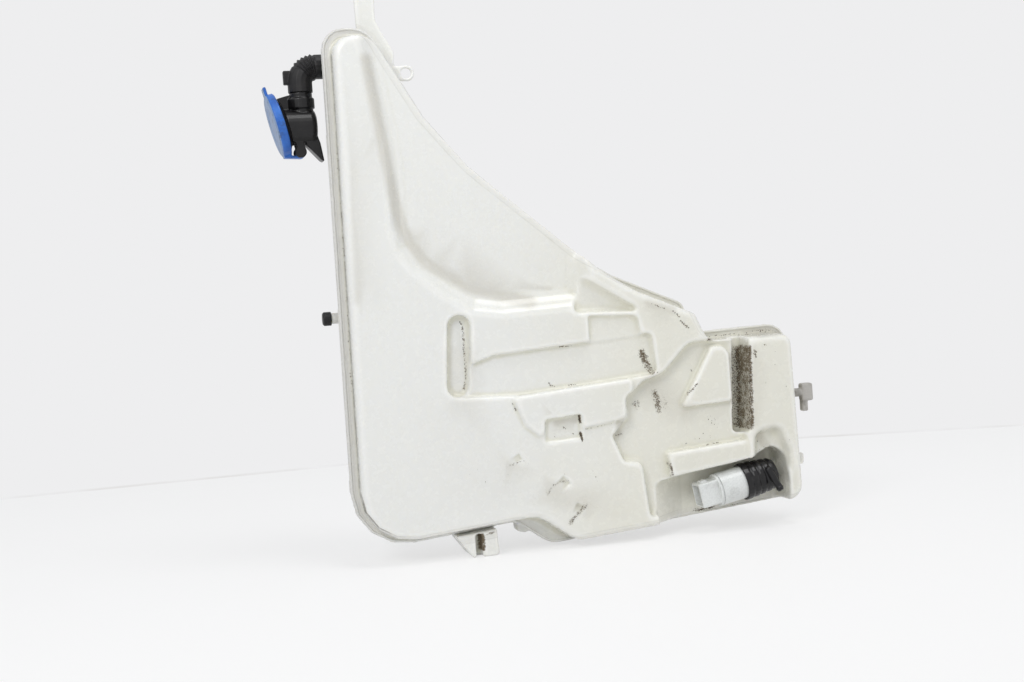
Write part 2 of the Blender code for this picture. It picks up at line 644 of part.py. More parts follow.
def spigot_centre():
    """World place where the pump's inlet spigot meets the pocket's floor."""
    return Vector((PUMP_X + SPIGOT_PLACE * cos(PUMP_TILT), POCKET_FLOOR,
                   PUMP_Z + SPIGOT_PLACE * sin(PUMP_TILT)))


def peg_cap():
    """Black rubber cap on the left peg."""
    base = PEG_LENGTH - PEG_TIP_LENGTH + FIT_GAP
    top = PEG_LENGTH + 1.6 * MM
    soft = 1 * MM
    profile = [(0, PEG_LENGTH + FIT_GAP), (PEG_TIP_RADIUS + FIT_GAP, PEG_LENGTH + FIT_GAP),
               (PEG_TIP_RADIUS + FIT_GAP, base), (PEG_CAP_RADIUS, base),
               (PEG_CAP_RADIUS, top - soft), (PEG_CAP_RADIUS - soft, top), (0, top)]
    made = turned("peg_cap", profile[::-1], 20, BLACK_RUBBER)
    made.rotation_euler = (0, radians(-90), 0)
    made.location = (PEG_START, PEG_Y, PEG_Z)
    return made


def side_clip():
    """Push-in clip in the right wall, with a blocky head and a small hook under it."""
    stalk = CLIP_STALK_RADIUS
    tip = CLIP_LENGTH
    profile = [(0, tip - 2 * MM), (stalk, tip - 2 * MM), (stalk, 3 * MM),
               (stalk + 1.6 * MM, 2.5 * MM), (stalk + 1.6 * MM, 1.5 * MM), (stalk, 1.5 * MM),
               (stalk, -3 * MM), (0, -5 * MM)]
    made = turned("side_clip", profile, 16, CLIP_PLASTIC)
    made.rotation_euler = (0, radians(90), 0)
    made.location = (side_wall_x(), CLIP_Y, CLIP_Z)
    wide = CLIP_HEAD_WIDTH / 2
    tall = CLIP_HEAD_HEIGHT / 2
    start = side_wall_x() + CLIP_START
    head = add_box("clip_head", (start, CLIP_Y - wide, CLIP_Z - tall),
                   (side_wall_x() + tip, CLIP_Y + wide, CLIP_Z + tall), soft=1.6 * MM)
    hook = add_box("clip_hook", (start, CLIP_Y - 3 * MM, CLIP_Z - tall - 8 * MM),
                   (start + 5 * MM, CLIP_Y + 3 * MM, CLIP_Z - tall + 3 * MM), soft=1 * MM)
    boolean(made, head, "UNION")
    boolean(made, hook, "UNION")
    return made


def curve_tube(name, points, radius, sides):
    """A round tube along points; each point may swell the radius, which makes the ribs."""
    path = bpy.data.curves.new(name, "CURVE")
    path.dimensions = "3D"
    path.bevel_depth = radius
    path.bevel_resolution = sides // 2 - 2
    path.use_fill_caps = True
    path.resolution_u = 1
    path.render_resolution_u = 0
    line = path.splines.new("POLY")
    line.points.add(len(points) - 1)
    for point, (place, swell) in zip(line.points, points):
        point.co = (*place, 1.0)
        point.radius = swell
    holder = bpy.data.objects.new(name, path)
    CUTTERS.objects.link(holder)
    bpy.context.view_layer.update()
    graph = bpy.context.evaluated_depsgraph_get()
    mesh = bpy.data.meshes.new_from_object(holder.evaluated_get(graph))
    bpy.data.objects.remove(holder, do_unlink=True)
    shape = bmesh.new()
    shape.from_mesh(mesh)
    bmesh.ops.remove_doubles(shape, verts=shape.verts, dist=0.00001)
    bpy.data.meshes.remove(mesh)
    return finish_mesh(shape, name)


def elbow_path(steps, start, drop):
    """Points of the elbow's middle line: from the stub, round the bend and down."""
    centre_x = elbow_bend_x()
    places = [Vector((start, NECK_Y, NECK_Z))]
    for step in range(steps + 1):
        swing = radians(90) * step / steps
        places.append(Vector((centre_x - ELBOW_BEND * sin(swing), NECK_Y,
                              NECK_Z - ELBOW_BEND * (1 - cos(swing)))))
    places.append(Vector((places[-1].x, NECK_Y, places[-1].z - drop)))
    return places


def elbow_bend_x():
    """Where the elbow starts to bend, at the end of the filler stub."""
    return left_wall_x() - NECK_REACH + 2 * MM


def filler_x():
    """Place of the filler's upright axis."""
    return elbow_bend_x() - ELBOW_BEND


def elbow_end_z():
    """Height of the elbow's lower end."""
    return NECK_Z - ELBOW_BEND - ELBOW_DROP


def filler_elbow():
    """Rubber elbow with fine ribs round the upper half of its bend."""
    radius = NECK_RADIUS + FIT_GAP + ELBOW_WALL
    start = left_wall_x() - FIT_GAP
    steps = 4 * ELBOW_RIB_COUNT
    middle = elbow_path(steps, start, ELBOW_DROP)
    points = []
    ribbed = 2 * ELBOW_RIB_COUNT
    for index, place in enumerate(middle):
        step = index - 1
        rib = 0 < step <= ribbed + 1 and step % 2 == 0
        valley = 0 < step <= ribbed + 1 and step % 2 == 1
        swell = 1.0 + (ELBOW_RIB / radius if rib else -ELBOW_RIB / radius if valley else 0.0)
        points.append((place, swell))
    made = add_object("filler_elbow", curve_tube("filler_elbow", points, radius, 16), BLACK_RUBBER)
    grip = add_box("elbow_grip", (filler_x() - radius - 3 * MM, NECK_Y - 3 * MM, elbow_end_z() + 6.2 * MM),
                   (filler_x() - radius + 2.6 * MM, NECK_Y + 3 * MM, NECK_Z - 2.4 * MM), soft=0.8 * MM)
    boolean(made, grip, "UNION")
    bore_path = elbow_path(8, start + 2 * MM, ELBOW_DROP + 2 * MM)
    bore_points = [(place, 1.0) for place in bore_path]
    bore = add_object("elbow_bore", curve_tube("elbow_bore", bore_points, NECK_RADIUS + 2 * FIT_GAP, 24),
                      cutter=True)
    boolean(made, bore)
    return made


def mouth_frame(name, drop=0.0, back=0.0):
    """An empty at the funnel's mouth whose own Z points out of the mouth and own X points up it."""
    empty = bpy.data.objects.new(name, None)
    PARTS.objects.link(empty)
    turn = Matrix.Rotation(-radians(90) - FUNNEL_TILT, 3, "Y")
    empty.location = Vector((MOUTH_X, NECK_Y, MOUTH_Z)) + turn @ Vector((-drop, 0, -back))
    empty.rotation_euler = (0, -radians(90) - FUNNEL_TILT, 0)
    return empty


def filler_funnel():
    """Funnel head with its neck, collar, gusset, overflow lip and hinge bar."""
    frame = mouth_frame("mouth_frame")
    behind = FUNNEL_RIM + FUNNEL_CONE
    outside = [(0, 0), (FUNNEL_RADIUS, 0), (FUNNEL_RADIUS, -FUNNEL_RIM), (FUNNEL_CONE_RADIUS, -behind),
               (0, -behind)]
    funnel = turned("filler_funnel", outside, 32, BLACK_PLASTIC)
    funnel.parent = frame

    length = FUNNEL_BODY_LENGTH
    thick = FUNNEL_BODY_RADIUS
    section = [(0, length), (thick - 4 * MM, length), (thick - 1.2 * MM, length - 1.2 * MM),
               (thick, length - 4 * MM), (thick, 0), (0, 0)]
    body = turned("funnel_body", section, 28, cutter=True)
    body.rotation_euler = (0, radians(90), 0)
    body.location = (MOUTH_X + 2.7 * MM, NECK_Y, MOUTH_Z - FUNNEL_BODY_DROP)
    boolean(funnel, body, "UNION")

    top = elbow_end_z() - FIT_GAP
    groove = top - COLLAR_GROOVE
    collar = groove - COLLAR_LENGTH
    waist = COLLAR_RADIUS - 1.4 * MM
    soft = 0.6 * MM
    profile = [(0, top + 6 * MM), (NECK_RADIUS, top + 6 * MM), (NECK_RADIUS, top), (waist, top),
               (waist, groove), (COLLAR_RADIUS - soft, groove), (COLLAR_RADIUS, groove - soft),
               (COLLAR_RADIUS, collar), (waist, collar - soft), (waist, MOUTH_Z + 4 * MM),
               (0, MOUTH_Z + 4 * MM)]
    neck = turned("funnel_neck", profile, 20, cutter=True)
    neck.location = (filler_x(), NECK_Y, 0)
    boolean(funnel, neck, "UNION")

    lip = [(filler_x() + 0.8 * MM, MOUTH_Z - 15.6 * MM, 1 * MM),
           (filler_x() + 1 * MM, MOUTH_Z - 5 * MM, 1 * MM), (filler_x() + 8.4 * MM, MOUTH_Z - 5 * MM, 1 * MM),
           (filler_x() + 11.4 * MM, MOUTH_Z - 15 * MM, 2 * MM),
           (filler_x() + 13.4 * MM, MOUTH_Z - 28.5 * MM, 0.4 * MM),
           (filler_x() + 11 * MM, MOUTH_Z - 27.2 * MM, 0.4 * MM)]
    boolean(funnel, add_plate("overflow_lip", lip, NECK_Y - 7 * MM, NECK_Y + 7 * MM, 0.3 * MM), "UNION")
    gusset = [(MOUTH_X - 0.4 * MM, MOUTH_Z + 18 * MM, 0.4 * MM), (MOUTH_X + 0.6 * MM, MOUTH_Z + 20 * MM, 0.4 * MM),
              (MOUTH_X + 8.9 * MM, MOUTH_Z + 22.2 * MM, 1 * MM), (filler_x(), MOUTH_Z + 19 * MM, 1 * MM),
              (filler_x(), MOUTH_Z + 8 * MM, 1 * MM), (MOUTH_X + 8 * MM, MOUTH_Z + 6 * MM, 1 * MM)]
    boolean(funnel, add_plate("gusset", gusset, NECK_Y - 1.2 * MM, NECK_Y + 1.2 * MM), "UNION")

    hinge = mouth_frame("hinge_frame", HINGE_DROP, HINGE_BACK)
    near = KNUCKLE_WIDTH / 2 + FIT_GAP
    for side in (-1, 1):
        span = sorted((side * near, side * (near + EAR_THICKNESS)))
        ear = add_rod("hinge_ear", EAR_RADIUS, -span[1], -span[0], 20)
        ear.rotation_euler = (radians(90), 0, 0)
        ear.location = (1.6 * MM, 0, 0)
        link = add_box("ear_link", (1.6 * MM, span[0], 0.2 * MM - EAR_RADIUS), (12.5 * MM, span[1], 2 * MM))
        for tool in (ear, link):
            tool.parent = hinge
            boolean(funnel, tool, "UNION")
    bar = add_rod("hinge_bar", HINGE_BAR_RADIUS, -near - 1 * MM, near + 1 * MM, 12)
    bar.rotation_euler = (radians(90), 0, 0)
    bar.parent = hinge
    boolean(funnel, bar, "UNION")

    mouth = FUNNEL_RADIUS - FUNNEL_WALL
    throat = FUNNEL_BODY_RADIUS - FUNNEL_WALL
    inside = [(0, 3 * MM), (mouth, 3 * MM), (mouth, -1.6 * MM), (mouth - 1.6 * MM, -FUNNEL_RIM),
              (throat, -FUNNEL_RIM - 1.4 * MM), (0, -FUNNEL_RIM - 1.4 * MM)]
    hollow = turned("funnel_hollow", inside, 32, cutter=True)
    hollow.parent = frame
    boolean(funnel, hollow)
    run = add_rod("funnel_bore", throat, 0, length - FUNNEL_WALL, 28)
    run.rotation_euler = (0, radians(90), 0)
    run.location = body.location
    boolean(funnel, run)
    bore = add_rod("neck_bore", NECK_BORE, MOUTH_Z, top + 9 * MM, 20)
    bore.location = (filler_x(), NECK_Y, 0)
    boolean(funnel, bore)


def filler_cap():
    """Cap with skirt, plug ring, finger tab and hinge strap; its origin is on the hinge bar."""
    hinge = mouth_frame("cap_hinge_axis", HINGE_DROP, HINGE_BACK)
    under = SEAL_THICKNESS + 2 * FIT_GAP
    top = under + CAP_PLATE
    inner = FUNNEL_RADIUS + 4 * FIT_GAP
    plug_in = CAP_PLUG_RADIUS - 1.8 * MM
    rim = 0.8 * MM
    profile = [(0, top - 0.5 * MM), (CAP_RADIUS * 0.55, top - 0.5 * MM), (CAP_RADIUS * 0.6, top),
               (CAP_RADIUS - 3 * MM, top), (CAP_RADIUS - rim, top - rim), (CAP_RADIUS, top - 2 * rim),
               (CAP_RADIUS, -CAP_SKIRT + rim), (CAP_RADIUS - rim, -CAP_SKIRT), (inner, -CAP_SKIRT),
               (inner, under), (CAP_PLUG_RADIUS, under), (CAP_PLUG_RADIUS, -CAP_PLUG_DEPTH),
               (plug_in, -CAP_PLUG_DEPTH), (plug_in, under), (0, under)]
    cap = turned("filler_cap", profile, 36, BLUE_PLASTIC)
    cap.parent = hinge
    cap.location = (HINGE_DROP, 0, HINGE_BACK)

    edge = HINGE_DROP + CAP_RADIUS
    high = HINGE_BACK + top - rim
    tab = add_box("finger_tab", (edge - 2.5 * MM, -TAB_WIDTH / 2, high - 2.4 * MM),
                  (edge + TAB_REACH, TAB_WIDTH / 2, high), soft=0.6 * MM)
    strap = add_box("hinge_strap", (-KNUCKLE_RADIUS, -KNUCKLE_WIDTH / 2, 0),
                    (-KNUCKLE_RADIUS + STRAP_THICKNESS, KNUCKLE_WIDTH / 2, STRAP_LENGTH))
    strap.rotation_euler = (0, STRAP_TILT, 0)
    knuckle = add_rod("knuckle", KNUCKLE_RADIUS, -KNUCKLE_WIDTH / 2, KNUCKLE_WIDTH / 2, 20)
    eye = add_rod("knuckle_eye", HINGE_BAR_RADIUS + FIT_GAP, -KNUCKLE_WIDTH, KNUCKLE_WIDTH, 16)
    slit = add_box("knuckle_slit", (-HINGE_BAR_RADIUS * 0.8, -KNUCKLE_WIDTH, -2 * KNUCKLE_RADIUS),
                   (HINGE_BAR_RADIUS * 0.8, KNUCKLE_WIDTH, 0))
    for rod in (knuckle, eye):
        rod.rotation_euler = (radians(90), 0, 0)
    for tool, operation in ((tab, "UNION"), (strap, "UNION"), (knuckle, "UNION"),
                            (eye, "DIFFERENCE"), (slit, "DIFFERENCE")):
        tool.parent = hinge
        boolean(cap, tool, operation)

    ring = [(FUNNEL_RADIUS, SEAL_THICKNESS), (FUNNEL_RADIUS, 0), (CAP_PLUG_RADIUS + FIT_GAP, 0),
            (CAP_PLUG_RADIUS + FIT_GAP, SEAL_THICKNESS)]
    seal = turned("cap_seal", ring, 32, BLACK_RUBBER, closed=True)
    seal.parent = hinge
    seal.location = (HINGE_DROP, 0, HINGE_BACK + FIT_GAP)


def pump_frame():
    """An empty at the mouth of the pump's connector whose own X runs along the pump."""
    frame = bpy.data.objects.new("pump_frame", None)
    PARTS.objects.link(frame)
    frame.location = (PUMP_X, PUMP_Y, PUMP_Z)
    frame.rotation_euler = (0, -PUMP_TILT, 0)
    return frame


def along_pump(made, frame, place=0.0):
    """Stands a piece that was made about its own Z on the pump's axis."""
    made.parent = frame
    made.rotation_euler = (0, radians(90), 0)
    made.location = (place, 0, 0)
    return made


def ring_profile(inner, outer, low, high, soft=0.0):
    """A closed ring section with its outer corners cut by soft."""
    if soft == 0.0:
        return [(outer, high), (outer, low), (inner, low), (inner, high)]
    return [(outer - soft, high), (outer, high - soft), (outer, low + soft), (outer - soft, low),
            (inner, low), (inner, high)]


def pump_end_cap(frame):
    """The end of the pump with the open connector socket and the seats of brushes and bush."""
    cap = add_box("pump_end_cap", (0, -SOCKET_WIDTH / 2, -SOCKET_HEIGHT / 2),
                  (SOCKET_LENGTH + 1 * MM, SOCKET_WIDTH / 2, SOCKET_HEIGHT / 2), WHITE_PLASTIC,
                  cutter=False, soft=1.2 * MM)
    cap.parent = frame
    disc = SOCKET_LENGTH + END_DISC
    seat = SLEEVE_START + BUSH_LENGTH
    rim_in = CAN_RADIUS - CAN_WALL - 2 * FIT_GAP - 1.2 * MM
    rim_out = CAN_RADIUS - CAN_WALL - 2 * FIT_GAP
    profile = [(0, disc), (BUSH_RADIUS + FIT_GAP, disc), (BUSH_RADIUS + FIT_GAP, seat),
               (BUSH_RADIUS + 1.6 * MM, seat), (BUSH_RADIUS + 1.6 * MM, disc), (rim_in, disc),
               (rim_in, disc + 3 * MM), (rim_out, disc + 3 * MM), (rim_out, disc),
               (SLEEVE_RADIUS, disc), (SLEEVE_RADIUS, SOCKET_LENGTH), (0, SOCKET_LENGTH)]
    boolean(cap, along_pump(turned("end_disc", profile, 24, cutter=True), frame), "UNION")
    inside = (SOCKET_WIDTH / 2 - SOCKET_WALL, SOCKET_HEIGHT / 2 - SOCKET_WALL)
    socket = add_box("socket", (-5 * MM, -inside[0], -inside[1]), (SOCKET_DEPTH, *inside))
    catch = add_box("catch", (4 * MM, -3.5 * MM, SOCKET_HEIGHT / 2 - 0.5 * MM),
                    (9 * MM, 3.5 * MM, SOCKET_HEIGHT / 2 + 1.4 * MM))
    socket.parent = frame
    catch.parent = frame
    boolean(cap, catch, "UNION")
    boolean(cap, socket)
    for side in (-1, 1):
        blade = add_box("blade_hole", (SOCKET_DEPTH - 2 * MM, side * 3.5 * MM - 0.7 * MM, -1.7 * MM),
                        (disc + 5 * MM, side * 3.5 * MM + 0.7 * MM, 1.7 * MM))
        blade.parent = frame
        boolean(cap, blade)
        tip = add_box("pump_terminal_" + ("1" if side < 0 else "2"),
                      (4 * MM, side * 3.5 * MM - 0.4 * MM, -1.4 * MM),
                      (disc + 2 * MM, side * 3.5 * MM + 0.4 * MM, 1.4 * MM), BRASS, cutter=False)
        tip.parent = frame


def pump_motor(frame):
    """Sleeve, can, magnets, brushes and bushes of the motor."""
    outer = SLEEVE_RADIUS
    profile = ring_profile(outer - SLEEVE_WALL, outer, SLEEVE_START, SLEEVE_END, 0.3 * MM)
    along_pump(turned("pump_motor_sleeve", profile, 28, WHITE_PLASTIC, closed=True), frame)

    seat = CAN_END - CAN_WALL - BUSH_LENGTH
    bush = BUSH_RADIUS + FIT_GAP
    hole = SHAFT_RADIUS + 2 * FIT_GAP
    can = [(hole, CAN_END), (CAN_RADIUS - 1 * MM, CAN_END), (CAN_RADIUS, CAN_END - 1 * MM),
           (CAN_RADIUS, SLEEVE_START), (CAN_RADIUS - CAN_WALL, SLEEVE_START),
           (CAN_RADIUS - CAN_WALL, CAN_END - CAN_WALL), (bush + CAN_WALL, CAN_END - CAN_WALL),
           (bush + CAN_WALL, seat), (bush, seat), (bush, CAN_END - CAN_WALL),
           (hole, CAN_END - CAN_WALL)]
    along_pump(turned("pump_motor_can", can, 24, STEEL, closed=True), frame)

    outer = CAN_RADIUS - CAN_WALL - FIT_GAP
    start = CAN_END - CAN_WALL - MAGNET_LENGTH - 1 * MM
    for side in (0, 1):
        swings = [radians(-58 + 29 * step) + side * pi for step in range(5)]
        points = [(outer * cos(swing), outer * sin(swing)) for swing in swings]
        points += [((outer - MAGNET_THICKNESS) * cos(swing), (outer - MAGNET_THICKNESS) * sin(swing))
                   for swing in reversed(swings)]
        rings = [[Vector((x, y, level)) for x, y in points] for level in (0.0, MAGNET_LENGTH)]
        name = "pump_magnet_%d" % (side + 1)
        along_pump(add_object(name, loft(name, rings), FERRITE), frame, start)
        near = COMMUTATOR_RADIUS + FIT_GAP
        span = sorted(((side * 2 - 1) * near, (side * 2 - 1) * (near + 3.6 * MM)))
        brush = add_box("pump_brush_%d" % (side + 1), (BRUSH_PLACE, span[0], -1.4 * MM),
                        (BRUSH_PLACE + 2.8 * MM, span[1], 1.4 * MM), CARBON, cutter=False)
        brush.parent = frame
    for name, place in (("pump_bush_front", SLEEVE_START),
                        ("pump_bush_rear", CAN_END - CAN_WALL - FIT_GAP - BUSH_LENGTH)):
        section = ring_profile(SHAFT_RADIUS + FIT_GAP, BUSH_RADIUS, 0, BUSH_LENGTH)
        along_pump(turned(name, section, 16, BRASS, closed=True), frame, place)


def pump_rotor(frame):
    """Shaft, armature, commutator and impeller; their origins are on the pump's axis."""
    length = CHAMBER_START + 4 * MM - SLEEVE_START
    shaft = [(0, length), (SHAFT_RADIUS - 0.2 * MM, length), (SHAFT_RADIUS, length - 0.2 * MM),
             (SHAFT_RADIUS, 0.2 * MM), (SHAFT_RADIUS - 0.2 * MM, 0), (0, 0)]
    along_pump(turned("pump_shaft", shaft, 12, STEEL), frame, SLEEVE_START)

    points = []
    for pole in range(ARMATURE_SLOTS):
        middle = 2 * pi * pole / ARMATURE_SLOTS
        half = pi / ARMATURE_SLOTS
        for share in (-0.86, -0.43, 0.0, 0.43, 0.86):
            points.append((ARMATURE_RADIUS, middle + half * share))
        points.append((ARMATURE_RADIUS * 0.5, middle + half * 0.9))
        points.append((ARMATURE_RADIUS * 0.5, middle + half * 1.1))
    flat = [(radius * cos(swing), radius * sin(swing)) for radius, swing in points]
    rings = [[Vector((x, y, level)) for x, y in flat] for level in (0.0, ARMATURE_LENGTH)]
    armature = add_object("pump_armature", loft("pump_armature", rings), COPPER)
    start = CAN_END - CAN_WALL - MAGNET_LENGTH + 1 * MM
    along_pump(armature, frame, start)

    section = ring_profile(SHAFT_RADIUS + FIT_GAP, COMMUTATOR_RADIUS, 0, COMMUTATOR_LENGTH)
    commutator = turned("pump_commutator", section, 16, COPPER, closed=True)
    along_pump(commutator, frame, BRUSH_PLACE - 0.3 * MM)

    hub = 2.6 * MM
    eye = SHAFT_RADIUS + FIT_GAP
    disc = 1.2 * MM
    depth = CHAMBER_LENGTH - 2 * MM
    section = [(hub, depth), (hub, disc), (IMPELLER_RADIUS, disc), (IMPELLER_RADIUS, 0), (eye, 0),
               (eye, depth)]
    impeller = turned("pump_impeller", section, 24, NYLON, closed=True)
    along_pump(impeller, frame, CHAMBER_START + 1 * MM)
    for blade in range(IMPELLER_BLADES):
        vane = add_box("vane", (hub - 0.6 * MM, -0.5 * MM, disc / 2),
                       (IMPELLER_RADIUS - 0.3 * MM, 0.5 * MM, depth))
        vane.parent = impeller
        vane.rotation_euler = (0, 0, 2 * pi * blade / IMPELLER_BLADES)
        boolean(impeller, vane, "UNION")
    bore = add_rod("armature_bore", SHAFT_RADIUS + FIT_GAP, -5 * MM, ARMATURE_LENGTH + 5 * MM, 16)
    bore.parent = armature
    boolean(armature, bore)


def pump_head(frame):
    """Ribbed head with the impeller chamber, inlet spigot and outlet nozzle; its cover and seal."""
    end = HEAD_START + HEAD_LENGTH
    profile = [(0, end), (HEAD_END_RADIUS * 0.55, end - 0.6 * MM), (HEAD_END_RADIUS * 0.86, end - 2.4 * MM),
               (HEAD_END_RADIUS, end - 5.5 * MM)]
    pitch = (HEAD_LENGTH - 8 * MM) / HEAD_RIBS
    groove = 1 * MM
    for rib in range(HEAD_RIBS):
        high = end - 6.5 * MM - rib * pitch
        radius = HEAD_END_RADIUS + (HEAD_RADIUS - HEAD_END_RADIUS) * (rib + 1) / HEAD_RIBS
        profile += [(radius - groove, high), (radius - groove, high - pitch * 0.3),
                    (radius, high - pitch * 0.42), (radius, high - pitch * 0.95)]
    seat = SLEEVE_RADIUS + FIT_GAP
    profile[-1] = (HEAD_RADIUS, HEAD_START)
    profile += [(seat, HEAD_START), (seat, SLEEVE_END + FIT_GAP), (seat - 0.6 * MM, SLEEVE_END + FIT_GAP),
                (seat - 0.6 * MM, CHAMBER_START), (CHAMBER_RADIUS, CHAMBER_START),
                (CHAMBER_RADIUS, CHAMBER_END), (0, CHAMBER_END)]
    head = along_pump(turned("pump_head", profile, 26, BLACK_PLASTIC), frame)

    reach = -PUMP_Y + 6.5 * MM
    spigot = add_rod("spigot", SPIGOT_RADIUS, 0, reach, 20)
    foot = add_rod("spigot_foot", SPIGOT_RADIUS + 1.5 * MM, 0, -PUMP_Y + POCKET_FLOOR - 2.4 * MM, 20)
    for rod in (spigot, foot):
        rod.parent = frame
        rod.rotation_euler = (radians(-90), 0, 0)
        rod.location = (SPIGOT_PLACE, 0, 0)
        boolean(head, rod, "UNION")
    inlet = add_rod("inlet_bore", SPIGOT_BORE, -SPIGOT_BORE * 0.9, reach + 5 * MM, 16)
    inlet.rotation_euler = (radians(-90), 0, 0)
    inlet.location = (SPIGOT_PLACE, 0, 0)
    middle = add_rod("middle_bore", SPIGOT_BORE * 0.9, CHAMBER_END - 2 * MM, SPIGOT_PLACE, 14)
    middle.rotation_euler = (0, radians(90), 0)
    for rod in (middle, inlet):
        rod.parent = frame
        boolean(head, rod)
    root = Vector((NOZZLE_PLACE, NOZZLE_SIDE, NOZZLE_RISE))
    nozzle = turned("nozzle", nozzle_profile(), 16, cutter=True)
    nozzle.rotation_euler = NOZZLE_AIM.to_track_quat("Z", "Y").to_euler()
    nozzle.location = root
    tip = root + NOZZLE_AIM.normalized() * (NOZZLE_LENGTH + 5 * MM)
    path = [(Vector((CHAMBER_END - 3 * MM, -5 * MM, 2 * MM)), 1.0), (root, 1.0), (tip, 1.0)]
    passage = add_object("nozzle_bore", curve_tube("nozzle_bore", path, NOZZLE_BORE, 12), cutter=True)
    for tool, operation in ((nozzle, "UNION"), (passage, "DIFFERENCE")):
        tool.parent = frame
        boolean(head, tool, operation)

    hole = 3.2 * MM
    cover = ring_profile(hole + FIT_GAP, SLEEVE_RADIUS - 0.6 * MM, 0, PLATE_THICKNESS - FIT_GAP)
    along_pump(turned("pump_cover", cover, 24, BLACK_PLASTIC, closed=True), frame, PLATE_START)
    lip = ring_profile(SHAFT_RADIUS + FIT_GAP, hole, 0, PLATE_THICKNESS - FIT_GAP)
    along_pump(turned("pump_shaft_seal", lip, 16, BLACK_RUBBER, closed=True), frame, PLATE_START)


def nozzle_profile():
    """Side of the outlet nozzle, with a hose bead near its end."""
    radius = NOZZLE_RADIUS
    end = NOZZLE_LENGTH
    return [(0, end), (radius - 0.5 * MM, end), (radius + 0.5 * MM, end - 2.4 * MM),
            (radius, end - 3 * MM), (radius, 0), (radius * 0.7, -1.5 * MM), (0, -2.2 * MM)]


def pump_seat():
    """Grommet in the pocket's floor and the strainer behind it."""
    place = spigot_centre()
    flange_out = 2 * MM
    behind = WALL + FIT_GAP
    inner = SPIGOT_RADIUS + FIT_GAP
    section = [(GROMMET_WAIST, behind), (GROMMET_WAIST, -FIT_GAP), (GROMMET_RADIUS, -FIT_GAP),
               (GROMMET_RADIUS, -flange_out), (inner, -flange_out), (inner, behind + flange_out),
               (GROMMET_RADIUS - 1 * MM, behind + flange_out), (GROMMET_RADIUS, behind)]
    grommet = turned("pump_grommet", section, 24, BLACK_RUBBER, closed=True)
    start = behind + flange_out + FIT_GAP
    end = start + STRAINER_LENGTH
    collar = inner + 1.5 * MM
    cup = [(0, end), (STRAINER_RADIUS - 1.5 * MM, end), (STRAINER_RADIUS, end - 1.5 * MM),
           (STRAINER_RADIUS, start + 5 * MM), (collar, start + 3.5 * MM), (collar, start),
           (inner, start), (inner, start + 5 * MM), (STRAINER_RADIUS - 1.2 * MM, start + 6.5 * MM),
           (STRAINER_RADIUS - 1.2 * MM, end - 1.4 * MM), (0, end - 1.4 * MM)]
    strainer = turned("pump_strainer", cup, 24, NYLON)
    for window in range(3):
        cut = add_box("strainer_window", (-STRAINER_RADIUS * 1.5, -1.6 * MM, start + 7.5 * MM),
                      (STRAINER_RADIUS * 1.5, 1.6 * MM, end - 3 * MM))
        cut.rotation_euler = (0, 0, pi * window / 3)
        cut.parent = strainer
        boolean(strainer, cut)
    for made in (grommet, strainer):
        made.rotation_euler = (radians(-90), 0, 0)
        made.location = place


def build():
    """Makes every piece of the reservoir."""
    front_shell()
    rear_shell()
    peg_cap()
    side_clip()
    filler_elbow()
    filler_funnel()
    filler_cap()
    frame = pump_frame()
    pump_end_cap(frame)
    pump_motor(frame)
    pump_rotor(frame)
    pump_head(frame)
    pump_seat()


build()
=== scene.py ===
# %% [markdown]
# A washer fluid reservoir, dressed for the camera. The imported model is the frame: it says where
# every piece is and how the cap and the pump's rotor move. Blender adds the looks round it.

# %% Load the frame
import bpy
import bmesh
import numpy as np
from math import cos, radians, sin
from mathutils import Matrix, Vector, kdtree
from mathutils.bvhtree import BVHTree


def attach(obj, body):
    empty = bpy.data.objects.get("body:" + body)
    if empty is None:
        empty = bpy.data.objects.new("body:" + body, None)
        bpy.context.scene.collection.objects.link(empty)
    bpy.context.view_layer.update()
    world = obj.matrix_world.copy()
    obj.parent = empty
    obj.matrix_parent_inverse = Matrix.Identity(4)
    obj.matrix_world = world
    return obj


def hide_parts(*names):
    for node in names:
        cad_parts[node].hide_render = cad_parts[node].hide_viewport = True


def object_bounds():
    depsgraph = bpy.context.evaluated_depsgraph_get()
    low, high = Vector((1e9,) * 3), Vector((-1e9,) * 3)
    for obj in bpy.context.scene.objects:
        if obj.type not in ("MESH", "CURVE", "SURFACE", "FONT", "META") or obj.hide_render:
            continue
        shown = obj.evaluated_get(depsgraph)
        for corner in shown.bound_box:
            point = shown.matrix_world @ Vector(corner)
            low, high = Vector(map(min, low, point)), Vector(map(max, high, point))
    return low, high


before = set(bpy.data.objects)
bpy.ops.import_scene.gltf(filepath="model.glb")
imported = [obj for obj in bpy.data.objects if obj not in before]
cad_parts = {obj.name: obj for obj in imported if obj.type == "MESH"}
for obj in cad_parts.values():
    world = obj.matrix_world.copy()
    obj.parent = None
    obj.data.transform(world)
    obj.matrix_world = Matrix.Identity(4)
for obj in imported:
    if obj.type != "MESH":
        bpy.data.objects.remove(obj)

CAD_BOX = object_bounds()
MM = 0.001
SCENE = bpy.context.scene
print("the CAD box in mm:", [tuple(round(c / MM) for c in corner) for corner in CAD_BOX])

# %% [markdown]
# Every mesh below is made in the row frame, so a finished piece's object stays at the origin,
# unturned. Four small helpers do the repeated work: one puts a mesh in the scene, one turns what
# modifiers show into a plain mesh, one takes a clean copy of a CAD solid, and one counts triangles.
# A CAD node's mesh is loose triangles, so a copy is merged before anything else happens to it.

# %% Helpers for meshes
def add_piece(name, mesh):
    """A mesh as an object at the origin."""
    made = bpy.data.objects.new(name, mesh)
    SCENE.collection.objects.link(made)
    return made


